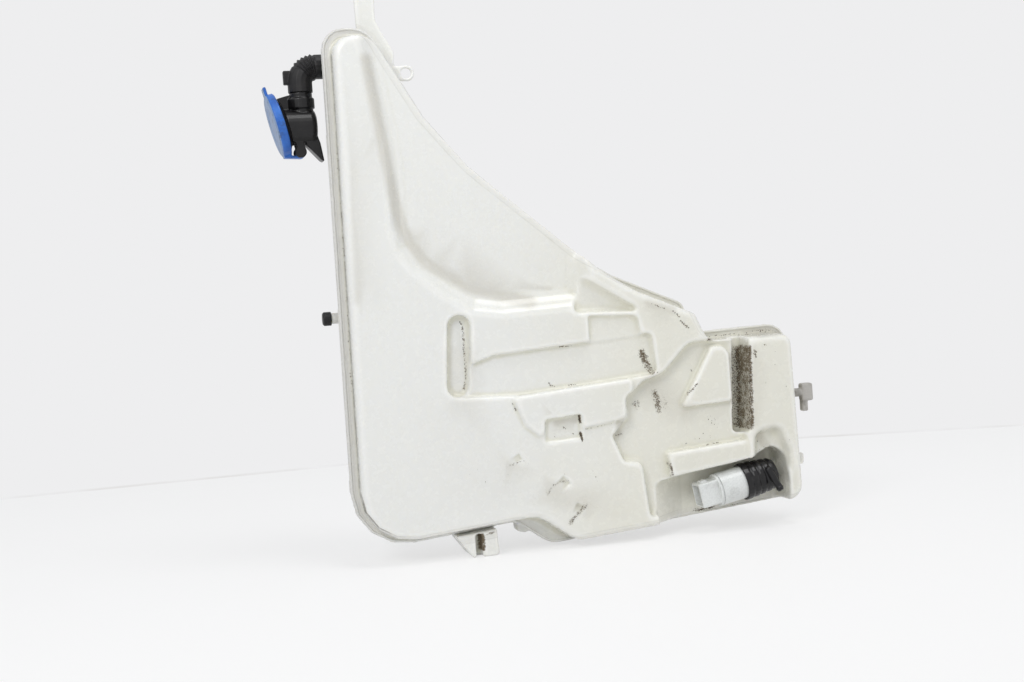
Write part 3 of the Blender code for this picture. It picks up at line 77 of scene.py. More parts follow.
def baked(piece):
    """Replaces the piece's mesh with what its modifiers show, and drops the modifiers."""
    bpy.context.view_layer.update()
    graph = bpy.context.evaluated_depsgraph_get()
    mesh = bpy.data.meshes.new_from_object(piece.evaluated_get(graph))
    piece.modifiers.clear()
    old, piece.data = piece.data, mesh
    mesh.name = piece.name
    if old.users == 0:
        bpy.data.meshes.remove(old)
    return piece


def solid_copy(name, node):
    """A copy of a CAD solid with its loose triangles merged."""
    shape = bmesh.new()
    shape.from_mesh(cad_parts[node].data)
    bmesh.ops.remove_doubles(shape, verts=shape.verts, dist=1e-6)
    mesh = bpy.data.meshes.new(name)
    shape.to_mesh(mesh)
    shape.free()
    return add_piece(name, mesh)


def triangles(piece):
    """How many triangles the piece has."""
    return sum(len(face.vertices) - 2 for face in piece.data.polygons)


# %% [markdown]
# Shader maths reads best as plain expressions. Wire holds one socket of a material, and its
# operators add the Math nodes, so dirt * (1 - wear) is a small tree of nodes.

# %% A socket that does arithmetic
class Wire:
    """One output socket in a material's node tree."""

    def __init__(self, tree, socket=None):
        self.tree = tree
        self.socket = socket

    def node(self, kind, values=None, out=0, **settings):
        """Adds a node: its settings first, then the values or links of its sockets."""
        made = self.tree.nodes.new(kind)
        for key, value in settings.items():
            setattr(made, key, value)
        for key, value in (values or {}).items():
            if isinstance(value, Wire):
                self.tree.links.new(value.socket, made.inputs[key])
            else:
                made.inputs[key].default_value = value
        return Wire(self.tree, made.outputs[out])

    def math(self, operation, *values):
        """One Math node on this and other values."""
        return self.node("ShaderNodeMath", dict(enumerate(values)), operation=operation)

    def __add__(self, other):
        return self.math("ADD", self, other)

    def __sub__(self, other):
        return self.math("SUBTRACT", self, other)

    def __rsub__(self, other):
        return self.math("SUBTRACT", other, self)

    def __mul__(self, other):
        return self.math("MULTIPLY", self, other)

    def __pow__(self, other):
        return self.math("POWER", self, other)

    __radd__ = __add__
    __rmul__ = __mul__

    def over(self, other):
        """The larger of two values."""
        return self.math("MAXIMUM", self, other)

    def size(self):
        """The value without its sign."""
        return self.math("ABSOLUTE", self)

    def step(self, low, high):
        """0 below low, 1 above high, and a soft rise between them."""
        return self.node("ShaderNodeMapRange", {0: self, 1: low, 2: high},
                         interpolation_type="SMOOTHSTEP")

    def mix(self, first, second):
        """A colour between two, by this value."""
        return self.node("ShaderNodeMix", {0: self, 6: first, 7: second}, out=2, data_type="RGBA")

    def noise(self, scale, detail=4.0, rough=0.55, stretch=(1, 1, 1)):
        """Cloudy noise, with features of the size 1 / scale in metres."""
        place = self.place()
        if stretch != (1, 1, 1):
            place = self.node("ShaderNodeMapping", {0: place, "Scale": stretch})
        return self.node("ShaderNodeTexNoise", {"Vector": place, "Scale": scale, "Detail": detail,
                                                "Roughness": rough})

    def place(self):
        """The point on the piece, in the row frame."""
        return self.node("ShaderNodeTexCoord", out="Object")

    def axes(self):
        """The point's X, Y and Z."""
        return [self.node("ShaderNodeSeparateXYZ", {0: self.place()}, out=axis)
                for axis in range(3)]

    def attribute(self, name):
        """A value that was measured for every vertex."""
        return self.node("ShaderNodeAttribute", out="Fac", attribute_name=name)

    def bump(self, height, distance, strength=1.0):
        """A normal that is bent by a height."""
        return self.node("ShaderNodeBump", {"Height": height, "Distance": distance,
                                            "Strength": strength})


# %% [markdown]
# Each finish is a function that paints: it gets a Wire and returns what varies over the surface.
# Numbers that are the same everywhere are set on the shader's own sockets instead, because the
# export keeps them only there. Colours are written as they look on a screen, from 0 to 255.

# %% Make a finish
def finish(name, paint, **fixed):
    """A material: paint returns the links of what varies, and fixed holds the constant values."""
    made = bpy.data.materials.new(name)
    made.use_nodes = True
    tree = made.node_tree
    shader = tree.nodes["Principled BSDF"]
    for key, value in fixed.items():
        shader.inputs[key.replace("_", " ")].default_value = value
    for key, value in paint(Wire(tree)).items():
        if isinstance(value, Wire):
            tree.links.new(value.socket, shader.inputs[key])
        else:
            shader.inputs[key].default_value = value
    return made


def tone(red, green, blue):
    """A colour as seen on screen, 0 to 255, made linear for the shader."""
    def linear(value):
        value /= 255
        return value / 12.92 if value <= 0.04045 else ((value + 0.055) / 1.055) ** 2.4
    return (linear(red), linear(green), linear(blue), 1.0)


# %% [markdown]
# Dirt gathers in hollows and along the weld. The hollows also get painted shade, and the convex
# edges a painted highlight. Both places can be measured on the mesh: a hollow is where the
# neighbourhood's average lies outside the surface, and the weld is near the outline of the CAD
# flange. The two measures are stored on the vertices, where the material reads them.

# %% Measure the hollows
def coordinates(mesh):
    """The mesh's vertices as rows of numbers."""
    flat = np.empty(len(mesh.vertices) * 3)
    mesh.vertices.foreach_get("co", flat)
    return flat.reshape(-1, 3)


def averaged(mesh, points, rounds):
    """Points after each has moved to its neighbours' average, several times."""
    ends = np.empty(len(mesh.edges) * 2, dtype=np.int64)
    mesh.edges.foreach_get("vertices", ends)
    ends = ends.reshape(-1, 2)
    start = np.concatenate([ends[:, 0], ends[:, 1]])
    other = np.concatenate([ends[:, 1], ends[:, 0]])
    count = np.bincount(start, minlength=len(points))[:, None]
    for _ in range(rounds):
        sums = [np.bincount(start, points[other, axis], len(points)) for axis in range(3)]
        points = np.stack(sums, axis=1) / count
    return points


def store(mesh, name, values):
    """Keeps one number for every vertex."""
    layer = mesh.attributes.new(name, "FLOAT", "POINT")
    layer.data.foreach_set("value", np.asarray(values, dtype=np.float32))


HOLLOW_ROUNDS = 8


def measure_hollows(mesh):
    """Stores how far below its neighbourhood each vertex lies, in millimetres."""
    points = coordinates(mesh)
    normals = np.empty(len(points) * 3)
    mesh.vertices.foreach_get("normal", normals)
    away = averaged(mesh, points, HOLLOW_ROUNDS) - points
    store(mesh, "hollow", (away * normals.reshape(-1, 3)).sum(axis=1) / MM)


# %% Walk round the flange's outline
def rim_loop():
    """The flange's outline, walked round the edge of the front shell's weld face."""
    shape = bmesh.new()
    shape.from_mesh(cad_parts["tank_front_shell"].data)
    bmesh.ops.remove_doubles(shape, verts=shape.verts, dist=1e-6)
    seam = max(vertex.co.y for vertex in shape.verts)
    flat = [edge for edge in shape.edges
            if all(abs(vertex.co.y - seam) < 1e-6 for vertex in edge.verts)
            and any(abs(face.normal.y) < 0.5 for face in edge.link_faces)]
    links = {}
    for edge in flat:
        for one, two in (edge.verts, reversed(edge.verts)):
            links.setdefault(one.index, []).append(two.index)
    points = [vertex.co.copy() for vertex in shape.verts]
    shape.free()
    start = min(links, key=lambda index: points[index].x)
    walk = [start]
    before, here = None, start
    while True:
        before, here = here, next(index for index in links[here] if index != before)
        if here == start:
            break
        walk.append(here)
    return [points[index] for index in walk]


RIM = rim_loop()
print("the rim has", len(RIM), "points and is",
      round(sum((RIM[i] - RIM[i - 1]).length for i in range(len(RIM))) / MM), "mm long")


# %% Measure the distance from the outline
def measure_rim(mesh):
    """Stores each vertex's distance from the outline, seen from the front, in millimetres."""
    dense = []
    for index, point in enumerate(RIM):
        before = RIM[index - 1]
        pieces = max(1, int((point - before).length / MM))
        dense += [before.lerp(point, step / pieces) for step in range(pieces)]
    tree = kdtree.KDTree(len(dense))
    for index, point in enumerate(dense):
        tree.insert((point.x, 0, point.z), index)
    tree.balance()
    store(mesh, "rim", [tree.find((v.co.x, 0, v.co.z))[2] / MM for v in mesh.vertices])


# %% [markdown]
# The tank is blow-moulded polyethylene: two thin halves with soft, slightly wavy faces and a
# weld rim. The CAD shells have the right forms but flat facets. A voxel remesh gives them an even
# skin of small faces, and a light smoothing rounds each edge the way the mould does. The measures
# are taken on the even skin, and Decimate then saves faces where the surface is flat. A smear's
# outline is finer than the faces that would be left there, so smeared places keep all of theirs.

# %% Soften a moulded piece
TANK_VOXEL = 1.15 * MM
MOST_TRIANGLES = 185000
CLEAN_BELOW = 0.02


def spare_smears(skin, fewer):
    """Lets Decimate work only where there is no smear."""
    smeared = np.empty(len(skin.data.vertices), dtype=np.float32)
    skin.data.attributes["smear"].data.foreach_get("value", smeared)
    clean = skin.vertex_groups.new(name="clean")
    clean.add(np.flatnonzero(smeared < CLEAN_BELOW).tolist(), 1.0, "REPLACE")
    fewer.vertex_group = clean.name


def moulded_skin(name, node, voxel, smoothing, shaped=None):
    """An even, softened skin over a CAD solid; shaped may change and measure it on the way."""
    skin = solid_copy(name, node)
    remesh = skin.modifiers.new("even skin", "REMESH")
    remesh.mode = "VOXEL"
    remesh.voxel_size = voxel
    soften = skin.modifiers.new("soften", "SMOOTH")
    soften.factor = 0.5
    soften.iterations = smoothing
    baked(skin)
    if shaped is not None:
        shaped(skin.data)
    if triangles(skin) > MOST_TRIANGLES:
        fewer = skin.modifiers.new("fewer faces", "DECIMATE")
        fewer.ratio = MOST_TRIANGLES / triangles(skin)
        if "smear" in skin.data.attributes:
            spare_smears(skin, fewer)
        baked(skin)
        skin.vertex_groups.clear()
    skin.data.shade_smooth()
    print(name, "has", triangles(skin), "triangles")
    return skin


# %% [markdown]
# Stones and handling have left four small dents in the front panel. Each is a wedge: it slopes in
# from one end and steps back out at the other. The vertices of the outer face are pushed in.

# %% Dents in the front panel
FRONT_FACE = -8 * MM
# Centre X and Z, half length, half width, turn in degrees and depth, in millimetres
DENTS = [
    (30.7, 71.8, 6, 3.2, 25, 1.3),
    (64.4, 48.9, 8, 5.0, 40, 1.7),
    (76.1, 28.0, 7, 4.0, 62, 1.7),
    (112.7, 88.6, 6.5, 4.0, 80, 1.2),
]


def smooth_rise(values, low, high):
    """0 below low, 1 above high and a soft rise between, for rows of numbers."""
    share = np.clip((values - low) / (high - low), 0.0, 1.0)
    return share * share * (3 - 2 * share)


def dent(mesh):
    """Pushes the wedges into the outer front face."""
    points = coordinates(mesh)
    normals = np.empty(len(points) * 3)
    mesh.vertices.foreach_get("normal", normals)
    outer = (normals.reshape(-1, 3)[:, 1] < -0.6) & (points[:, 1] < FRONT_FACE)
    for centre_x, centre_z, long, wide, turn, depth in DENTS:
        swing = radians(turn)
        across, up = points[:, 0] / MM - centre_x, points[:, 2] / MM - centre_z
        along = (across * cos(swing) + up * sin(swing)) / long
        beside = (up * cos(swing) - across * sin(swing)) / wide
        wedge = smooth_rise(along, -1.0, 0.75) * (1 - smooth_rise(along, 0.72, 0.98))
        wedge = wedge * (1 - smooth_rise(np.abs(beside), 0.55, 1.0)) * outer
        points[:, 1] += wedge * depth * MM
    mesh.vertices.foreach_set("co", points.ravel())
    mesh.update()


# %% [markdown]
# Where dirt has run or rubbed, it leaves soft films and darker smears, and one film along the
# channel's left wall is painted shade. Each one is a stroke: a line of points on the face with a
# width. A vertex takes the strength of the nearest stroke, and the strength fades with the distance
# from its line. Measuring strokes on the mesh is simpler than drawing them with nodes, and the
# marks stay in place from every side.

# %% Films and smears
# For each stroke: half width in millimetres, strength, and the X and Z of its points
FILMS_AND_SHADE = [
    # The first film is painted shade on the channel's left wall; the others are dirt films.
    (7, 0.55, [(-58, 374), (-53, 330), (-46, 278), (-40, 250), (-24, 224), (8, 203), (52, 189)]),
    (2, 0.35, [(-30, 250), (-10, 218), (20, 203), (70, 198)]),
    (16, 0.25, [(-4, 150), (-3, 60)]), (3, 0.5, [(-60, 58), (-59, 34)]),
    (10, 0.35, [(24, 66), (60, 44), (84, 30)]), (14, 0.3, [(140, 120), (165, 95)]),
    (5, 0.55, [(226, 72), (236, 58), (242, 30)]), (9, 0.35, [(219, 138), (217, 84)]),
    (3, 0.6, [(64, 96), (79, 97)]), (3, 0.4, [(50, 108), (58, 106)]),
    (4, 0.5, [(230, 151), (252, 152), (262, 146)]), (5, 0.4, [(142, 181), (160, 175)]),
    (4, 0.5, [(114, 94), (114, 84)]), (6, 0.35, [(-70, 320), (-76, 200)]),
]
SMEARS = [
    (4.5, 0.62, [(135.3, 145), (138.1, 136.9), (141.7, 129.4)]),
    (1.6, 0.85, [(135.8, 143), (138.1, 136.9)]),
    (4.2, 0.68, [(145, 112.2), (146.5, 106.2), (147.4, 98.2)]), (7, 0.35, [(150, 106), (152, 103)]),
    (2.4, 0.7, [(220, 142), (219.6, 119), (219.2, 105), (218.8, 91), (218, 79)]),
    (2.6, 0.3, [(216.5, 139), (215.5, 115), (214, 82)]), (1.5, 0.85, [(219.2, 98), (218.4, 80)]),
    (1.4, 0.85, [(220, 141), (219.7, 124)]),
    (3.2, 0.5, [(70.2, 20.2), (73, 24.3), (79.1, 28.8), (82.7, 33.5)]),
    (2.6, 0.34, [(53.8, 43.9), (59.4, 50.9), (71.1, 52.3)]), (2.0, 0.4, [(25, 67.5), (36.6, 70.7)]),
    (1.3, 0.9, [(82.2, 101), (82.8, 95.3)]), (1.3, 0.9, [(82.5, 87.7), (83.4, 81.5)]),
    (1.1, 0.5, [(-2.1, 178.2), (0.3, 174.6), (0.2, 150), (0, 135), (-2.4, 126.8)]),
    (1.2, 0.55, [(170.1, 109), (177.7, 117.2)]), (1.6, 0.5, [(166.3, 166.1), (172.2, 160.5)]),
    (1.6, 0.6, [(188.2, 150), (191.4, 149.8)]), (1.4, 0.6, [(151.3, 58.3), (153.2, 47.7)]),
    (2.8, 1.0, [(3.5, 16), (3.5, 6)]), (1.4, 0.6, [(5.4, 16.2), (14.5, 18.2)]),
    (1.2, 0.5, [(126.3, 104.9), (132.4, 106.9)]), (2.0, 0.55, [(176.7, 15.6), (193.6, 17.5)]),
    (1.2, 0.5, [(111.5, 82.3), (118.1, 82.8)]), (1.5, 0.6, [(224.6, 139), (224.7, 134)]),
]


# %% Measure the strokes
# How far back dirt is found on the two halves, and a depth that only the rear half reaches
FRONT_DIRT = 0.5 * MM
REAR_DIRT = 12 * MM
BEHIND_SEAM = 20 * MM


def stroke_strength(points, strokes):
    """How strongly each point is covered by the strokes, seen from the front."""
    flat = points[:, [0, 2]] / MM
    total = np.zeros(len(points))
    for half_width, strength, path in strokes:
        for start, end in zip(path, path[1:]):
            start, run = np.array(start), np.array(end) - np.array(start)
            share = np.clip(((flat - start) @ run) / (run @ run), 0.0, 1.0)
            away = np.linalg.norm(flat - start - share[:, None] * run, axis=1)
            total = np.maximum(total, strength * (1 - smooth_rise(away / half_width, 0.25, 1.15)))
    return total


def measure(mesh):
    """Stores all the measures that the tank's plastic reads."""
    measure_hollows(mesh)
    measure_rim(mesh)
    points = coordinates(mesh)
    is_rear = points[:, 1].max() > BEHIND_SEAM
    reached = points[:, 1] < (REAR_DIRT if is_rear else FRONT_DIRT)
    # The film measure holds the dirt films and the painted shade on the channel's left wall.
    store(mesh, "film", stroke_strength(points, FILMS_AND_SHADE) * reached)
    store(mesh, "smear", stroke_strength(points, SMEARS) * reached)


def shape_front(mesh):
    """Dents the front half and measures it."""
    dent(mesh)
    measure(mesh)


# %% Skin of the two halves
tank_front = moulded_skin("tank_front", "tank_front_shell", TANK_VOXEL, 3, shape_front)
tank_rear = moulded_skin("tank_rear", "tank_rear_shell", TANK_VOXEL, 3, measure)

# %% [markdown]
# The plastic is milky white, and it turns creamy towards the pump's side. Its recesses get painted
# shade, darker and yellower, and its sharp outer edges get a painted highlight, whiter. The films
# and smears that were measured on the vertices are broken up by noise here, so that they look
# ragged at the scale of a grain of dirt.

# %% The tank's plastic
WHITE = tone(234, 234, 229)
CREAM = tone(229, 227, 215)
RECESS_SHADE = tone(221, 219, 203)
EDGE_HIGHLIGHT = tone(248, 247, 242)
RIM_GREY = tone(214, 212, 206)
FILM_AND_SHADE_TONE = tone(186, 181, 168)
DIRT = tone(104, 92, 72)
LINE = tone(112, 108, 98)
EDGE_LINE = 6.7
SECOND_LINE = 4.0


def paint_tank(wire):
    """Milky plastic with painted shade in recesses, painted highlights on edges, films, rim lines
    and dirt, in this order.
    """
    x, y, _ = wire.axes()
    hollow = wire.attribute("hollow")
    rim = wire.attribute("rim")
    film = wire.attribute("film")
    smear = wire.attribute("smear")
    broad = wire.noise(14.0, 3.0)
    fine = wire.noise(160.0, 6.0, 0.65)
    speck = wire.noise(900.0, 3.0, 0.6)
    facing = y.step(-2 * MM, -6 * MM)

    creamy = (x + (broad - 0.5) * 0.12).step(0.0, 0.17)
    colour = creamy.mix(WHITE, CREAM)
    # Painted shade: the recesses are painted darker and yellower.
    colour = (hollow.step(0.05, 0.5) * 0.8).mix(colour, RECESS_SHADE)
    # Painted highlight: the convex edges are painted whiter.
    colour = ((0 - hollow).step(0.05, 0.4) * 0.5).mix(colour, EDGE_HIGHLIGHT)
    left = 1 - x.step(-0.08, -0.05)
    inside_rim = 1 - rim.step(5.0, 7.5)
    colour = (inside_rim * (left * 0.5 + 0.3)).mix(colour, RIM_GREY)

    # Films darken the colour: dirt films, and painted shade on the channel's left wall.
    film_and_shade_veil = (film * (fine * 0.8 + 0.5)).over(fine.step(0.55, 0.8) * 0.12)
    colour = film_and_shade_veil.mix(colour, FILM_AND_SHADE_TONE)

    edge_line = (1 - (rim - EDGE_LINE).size().step(0.15, 0.75)) * (left * 0.75 + 0.15)
    second = (1 - (rim - SECOND_LINE).size().step(0.1, 0.6)) * left * 0.45
    lines = edge_line.over(second) * (fine.step(0.3, 0.6) * 0.75 + 0.25) * facing.over(0.3)
    colour = lines.mix(colour, LINE)

    crumbs = (0.5 - fine) * 2.2 + (0.5 - speck) * 2.6
    ragged = (smear * 1.5 - 0.5 + crumbs).step(0.0, 0.9) * smear.step(0.02, 0.45)
    creases = hollow.step(0.15, 0.7) * fine.step(0.56, 0.74) * 0.25 * creamy
    grime = ragged.over(creases)
    colour = grime.mix(colour, DIRT)

    waves = wire.noise(30.0, 2.0, 0.4)
    grain = wire.noise(1400.0, 2.0, 0.5)
    height = waves * 0.7 + grain * 0.02 + grime * 0.15
    return {
        "Base Color": colour,
        "Roughness": 0.22 + fine * 0.1 + grime * 0.45,
        "Normal": wire.bump(height, 1 * MM, 0.6),
    }


# %% Paint the two halves
milky = finish("milky_polyethylene", paint_tank, Subsurface_Weight=0.15, Subsurface_Scale=0.006)
milky.node_tree.nodes["Principled BSDF"].inputs["Subsurface Radius"].default_value = (1.0, 0.9, 0.7)
for skin, node in ((tank_front, "tank_front_shell"), (tank_rear, "tank_rear_shell")):
    skin.data.materials.clear()
    skin.data.materials.append(milky)
    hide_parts(node)
    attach(skin, "tank")
print("the tank's plastic has", len(milky.node_tree.nodes), "nodes")

# %% [markdown]
# Geometry Nodes suit what repeats or follows a path. Their trees are built here in the script, with
# the same short way of adding nodes as in the materials. A tree's inputs are its sizes.

# %% Helpers for geometry trees
def grow(tree, kind, values=None, **settings):
    """Adds a node to a geometry tree: its settings first, then values or links of its sockets."""
    made = tree.nodes.new(kind)
    for key, value in settings.items():
        setattr(made, key, value)
    for key, value in (values or {}).items():
        if isinstance(value, bpy.types.NodeSocket):
            tree.links.new(value, made.inputs[key])
        else:
            made.inputs[key].default_value = value
    return made


def new_tree(name, sizes):
    """A geometry tree with its named inputs, and the sockets that its nodes start from."""
    tree = bpy.data.node_groups.new(name, "GeometryNodeTree")
    tree.interface.new_socket("Geometry", in_out="INPUT", socket_type="NodeSocketGeometry")
    for label, kind in sizes.items():
        tree.interface.new_socket(label, in_out="INPUT", socket_type=kind)
    tree.interface.new_socket("Geometry", in_out="OUTPUT", socket_type="NodeSocketGeometry")
    return tree, tree.nodes.new("NodeGroupInput"), tree.nodes.new("NodeGroupOutput")


def set_inputs(modifier, values):
    """Sets the tree's inputs on a modifier, each by its socket's identifier."""
    for item in modifier.node_group.interface.items_tree:
        if item.in_out == "INPUT" and item.name in values:
            modifier[item.identifier] = values[item.name]


# %% [markdown]
# Where the halves are welded, molten plastic is pressed out and leaves a round bead along the rim.
# It follows a path, so Geometry Nodes sweep a circle along the outline. Noise varies the bead's
# thickness, as in a real weld. The tree is baked to a plain mesh.

# %% The bead's tree
def bead_tree():
    """Sweeps a circle of uneven thickness along a loop."""
    tree, start, end = new_tree("rim_bead", {"Radius": "NodeSocketFloat", "Step": "NodeSocketFloat",
                                             "Plastic": "NodeSocketMaterial"})
    path = grow(tree, "GeometryNodeMeshToCurve", {"Mesh": start.outputs["Geometry"]})
    even = grow(tree, "GeometryNodeResampleCurve", {"Curve": path.outputs[0],
                                                    "Length": start.outputs["Step"]}, mode="LENGTH")
    bumps = grow(tree, "ShaderNodeTexNoise", {"Scale": 90.0, "Detail": 2.0})
    swell = grow(tree, "ShaderNodeMapRange", {"Value": bumps.outputs[0], "From Min": 0.3,
                                              "From Max": 0.7, "To Min": 0.75, "To Max": 1.2})
    thick = grow(tree, "ShaderNodeMath", {0: swell.outputs[0], 1: start.outputs["Radius"]},
                 operation="MULTIPLY")
    round_section = grow(tree, "GeometryNodeCurvePrimitiveCircle",
                         {"Resolution": 10, "Radius": 1.0})
    swept = grow(tree, "GeometryNodeCurveToMesh",
                 {"Curve": even.outputs[0], "Profile Curve": round_section.outputs[0],
                  "Scale": thick.outputs[0]})
    smooth = grow(tree, "GeometryNodeSetShadeSmooth", {"Geometry": swept.outputs[0]})
    whole = grow(tree, "GeometryNodeRealizeInstances", {"Geometry": smooth.outputs[0]})
    coated = grow(tree, "GeometryNodeSetMaterial", {"Geometry": whole.outputs[0],
                                                    "Material": start.outputs["Plastic"]})
    tree.links.new(coated.outputs[0], end.inputs[0])
    return tree


# %% The bead's path
BEAD_RADIUS = 1.0 * MM
BEAD_INSET = 1.5 * MM
BEAD_FRONT = -2.5 * MM
BEAD_STEP = 2.0 * MM


def inner_loop(points, inset, depth):
    """The outline moved inwards, as points at one depth."""
    moved = []
    for index, point in enumerate(points):
        before, after = points[index - 1], points[(index + 1) % len(points)]
        heading = (after - before).normalized()
        side = Vector((heading.z, 0, -heading.x))
        moved.append(Vector((point.x, depth, point.z)) + side * inset)
    return moved


turn_sum = sum(RIM[i - 1].x * RIM[i].z - RIM[i].x * RIM[i - 1].z for i in range(len(RIM)))
bead_path = inner_loop(RIM, BEAD_INSET if turn_sum < 0 else -BEAD_INSET, BEAD_FRONT)

# %% Sweep the weld bead
bead_mesh = bpy.data.meshes.new("weld_bead")
bead_edges = [(i, (i + 1) % len(bead_path)) for i in range(len(bead_path))]
bead_mesh.from_pydata(bead_path, bead_edges, [])
bead = add_piece("weld_bead", bead_mesh)
sweep = bead.modifiers.new("sweep", "NODES")
sweep.node_group = bead_tree()
set_inputs(sweep, {"Radius": BEAD_RADIUS, "Step": BEAD_STEP, "Plastic": milky})
baked(bead)
for measured, value in (("hollow", 0.0), ("rim", 2.0), ("film", 0.0), ("smear", 0.0)):
    store(bead.data, measured, [value] * len(bead.data.vertices))
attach(bead, "tank")
print("the bead has", triangles(bead), "triangles")

# %% [markdown]
# Close up, the dirt is grains of soil and sand. They could be painted, but real grains keep crisp
# edges and catch light in every view. Rays that are sent at the face along each stroke find where
# the grains lie, and Geometry Nodes put a small rough stone on each of these points.

# %% Grains of dirt
# For each stroke: half width in millimetres, grains per millimetre, and the X and Z of its points
GRAINS = [
    (0.35, 1.5, [(-2.1, 178.2), (-0.4, 174.6), (-0.6, 160), (-0.4, 149), (-0.6, 135), (-3, 127)]),
    (0.35, 2.2, [(70.9, 153.8), (80.7, 153.5)]), (0.35, 2.2, [(76.3, 124), (82.5, 124.1)]),
    (0.3, 2.0, [(61.2, 128.1), (62.5, 125.4), (66.3, 123.9)]),
    (0.25, 2.5, [(31.5, 114.8), (34.2, 108.4)]), (0.5, 10, [(82.2, 101), (82.8, 95.3)]),
    (0.5, 10, [(82.5, 87.7), (83.4, 81.5)]), (0.4, 2.5, [(69.5, 93.6), (71.3, 91.4)]),
    (0.4, 3.0, [(62.6, 86.5), (63.8, 86)]), (0.4, 3.0, [(76.3, 87.6), (77.5, 87.2)]),
    (0.3, 0.5, [(86.6, 90.2), (107.4, 92.6)]), (0.5, 1.0, [(25.7, 67.8), (36.6, 70.7)]),
    (0.7, 0.8, [(53.8, 43.9), (59.4, 50.9), (71.1, 52.3)]),
    (1.2, 2.4, [(70.2, 20.2), (73, 24.3), (79.1, 28.8), (82.7, 33.5)]),
    (1.4, 14, [(3.5, 16), (3.5, 7)]), (0.8, 4.0, [(5.4, 16.2), (14.5, 18.2)]),
    (0.8, 1.0, [(126.3, 104.9), (132.4, 106.9)]), (0.5, 1.0, [(111.5, 82.3), (118.1, 82.8)]),
    (3.0, 4.0, [(135.3, 145), (138.1, 136.9), (141.7, 129.4)]),
    (2.2, 2.0, [(145, 112.2), (146.5, 106.2), (147.4, 98.2)]),
    (0.5, 1.6, [(170.1, 109), (177.7, 117.2)]), (0.4, 2.5, [(175, 127.5), (176.2, 126.6)]),
    (1.5, 16, [(219.4, 141), (218.8, 118.8), (218.2, 105.3), (217.6, 91.6), (216.8, 79.2)]),
    (3.0, 5, [(217, 140), (215.7, 115.5), (214, 82)]), (0.8, 4, [(218.2, 139), (218.9, 134)]),
    (0.9, 5, [(224.5, 138.9), (224.7, 134.2)]), (0.6, 3, [(231.9, 143), (233.9, 142.5)]),
    (0.6, 5, [(212, 81.7), (217.5, 79.4)]), (0.5, 1.2, [(144.5, 181), (154.3, 176)]),
    (0.5, 1.4, [(160.4, 175), (165.6, 169)]), (0.7, 4, [(166.3, 166.1), (172.2, 160.5)]),
    (0.8, 4, [(188.2, 150), (191.4, 149.8)]), (0.8, 0.8, [(186.6, 151.5), (230.8, 151)]),
    (1.0, 1.0, [(230.9, 152), (251.6, 152.5), (259.7, 147.8)]),
    (0.3, 2.0, [(182.8, 68.5), (193.3, 69.5)]), (0.5, 3, [(167.2, 71.4), (168.4, 71)]),
    (0.4, 3, [(188.7, 84.9), (189.4, 84.6)]), (0.7, 2.2, [(151.3, 58.3), (153.2, 47.7)]),
    (1.0, 5, [(176.7, 15.6), (184.7, 15.4), (193.6, 17.5)]),
    (0.5, 1.6, [(204.8, 16.4), (218.6, 16.3)]),
    (3.0, 0.25, [(178.8, 104.2), (195.7, 79), (171, 73.4)]),
    (6.0, 0.12, [(-4, 67), (33, 49), (95, 58)]),
    (4.0, 0.3, [(226, 70), (237, 51)]), (9.0, 0.12, [(240, 140), (240, 60)]),
    (0.5, 0.35, [(-83, 310), (-83.5, 241), (-84.3, 181), (-85.6, 126)]),
]

# %% Where the grains lie
RAY_START = -60 * MM
GRAINS_REACH = 15 * MM


def grain_points(target, seed=7):
    """Places on the target's front where the grains of the strokes lie."""
    chance = np.random.default_rng(seed)
    tree = BVHTree.FromPolygons([vertex.co for vertex in target.vertices],
                                [tuple(face.vertices) for face in target.polygons])
    found = []
    for half_width, per_mm, path in GRAINS:
        for start, end in zip(path, path[1:]):
            start, end = np.array(start), np.array(end)
            run = end - start
            length = np.linalg.norm(run)
            for _ in range(max(1, round(length * per_mm))):
                place = start + run * chance.random() + chance.normal(0, half_width * 0.6, 2)
                ray = Vector((place[0] * MM, RAY_START, place[1] * MM))
                hit = tree.ray_cast(ray, Vector((0, 1, 0)))
                if hit[0] is not None and hit[0].y < GRAINS_REACH:
                    found.append(hit[0])
    return found


# %% The grains' tree
def grain_tree():
    """Puts a small stone of random size and turn on each point."""
    tree, start, end = new_tree("grains", {"Radius": "NodeSocketFloat", "Seed": "NodeSocketInt",
                                           "Dirt": "NodeSocketMaterial"})
    stone = grow(tree, "GeometryNodeMeshIcoSphere", {"Radius": start.outputs["Radius"],
                                                     "Subdivisions": 1})
    size = grow(tree, "FunctionNodeRandomValue", {2: 0.4, 3: 1.5, 8: start.outputs["Seed"]},
                data_type="FLOAT")
    turned = grow(tree, "FunctionNodeRandomValue", {0: (0, 0, 0), 1: (6.28, 6.28, 6.28),
                                                    8: start.outputs["Seed"]},
                  data_type="FLOAT_VECTOR")
    points = grow(tree, "GeometryNodeMeshToPoints", {"Mesh": start.outputs["Geometry"]})
    placed = grow(tree, "GeometryNodeInstanceOnPoints",
                  {"Points": points.outputs[0], "Instance": stone.outputs[0],
                   "Rotation": turned.outputs[0], "Scale": size.outputs[1]})
    whole = grow(tree, "GeometryNodeRealizeInstances", {"Geometry": placed.outputs[0]})
    coated = grow(tree, "GeometryNodeSetMaterial", {"Geometry": whole.outputs[0],
                                                    "Material": start.outputs["Dirt"]})
    tree.links.new(coated.outputs[0], end.inputs[0])
    return tree


# %% Scatter the grains
GRAIN_RADIUS = 0.3 * MM
STONE_FACES = 20


def paint_soil(wire):
    """Dry soil, darker and lighter by the grain."""
    cloud = wire.noise(500.0, 3.0)
    return {
        "Base Color": cloud.step(0.3, 0.7).mix(tone(60, 50, 40), tone(124, 110, 90)),
        "Roughness": 0.85 + cloud * 0.1,
        "Normal": wire.bump(cloud, 0.1 * MM, 0.5),
    }


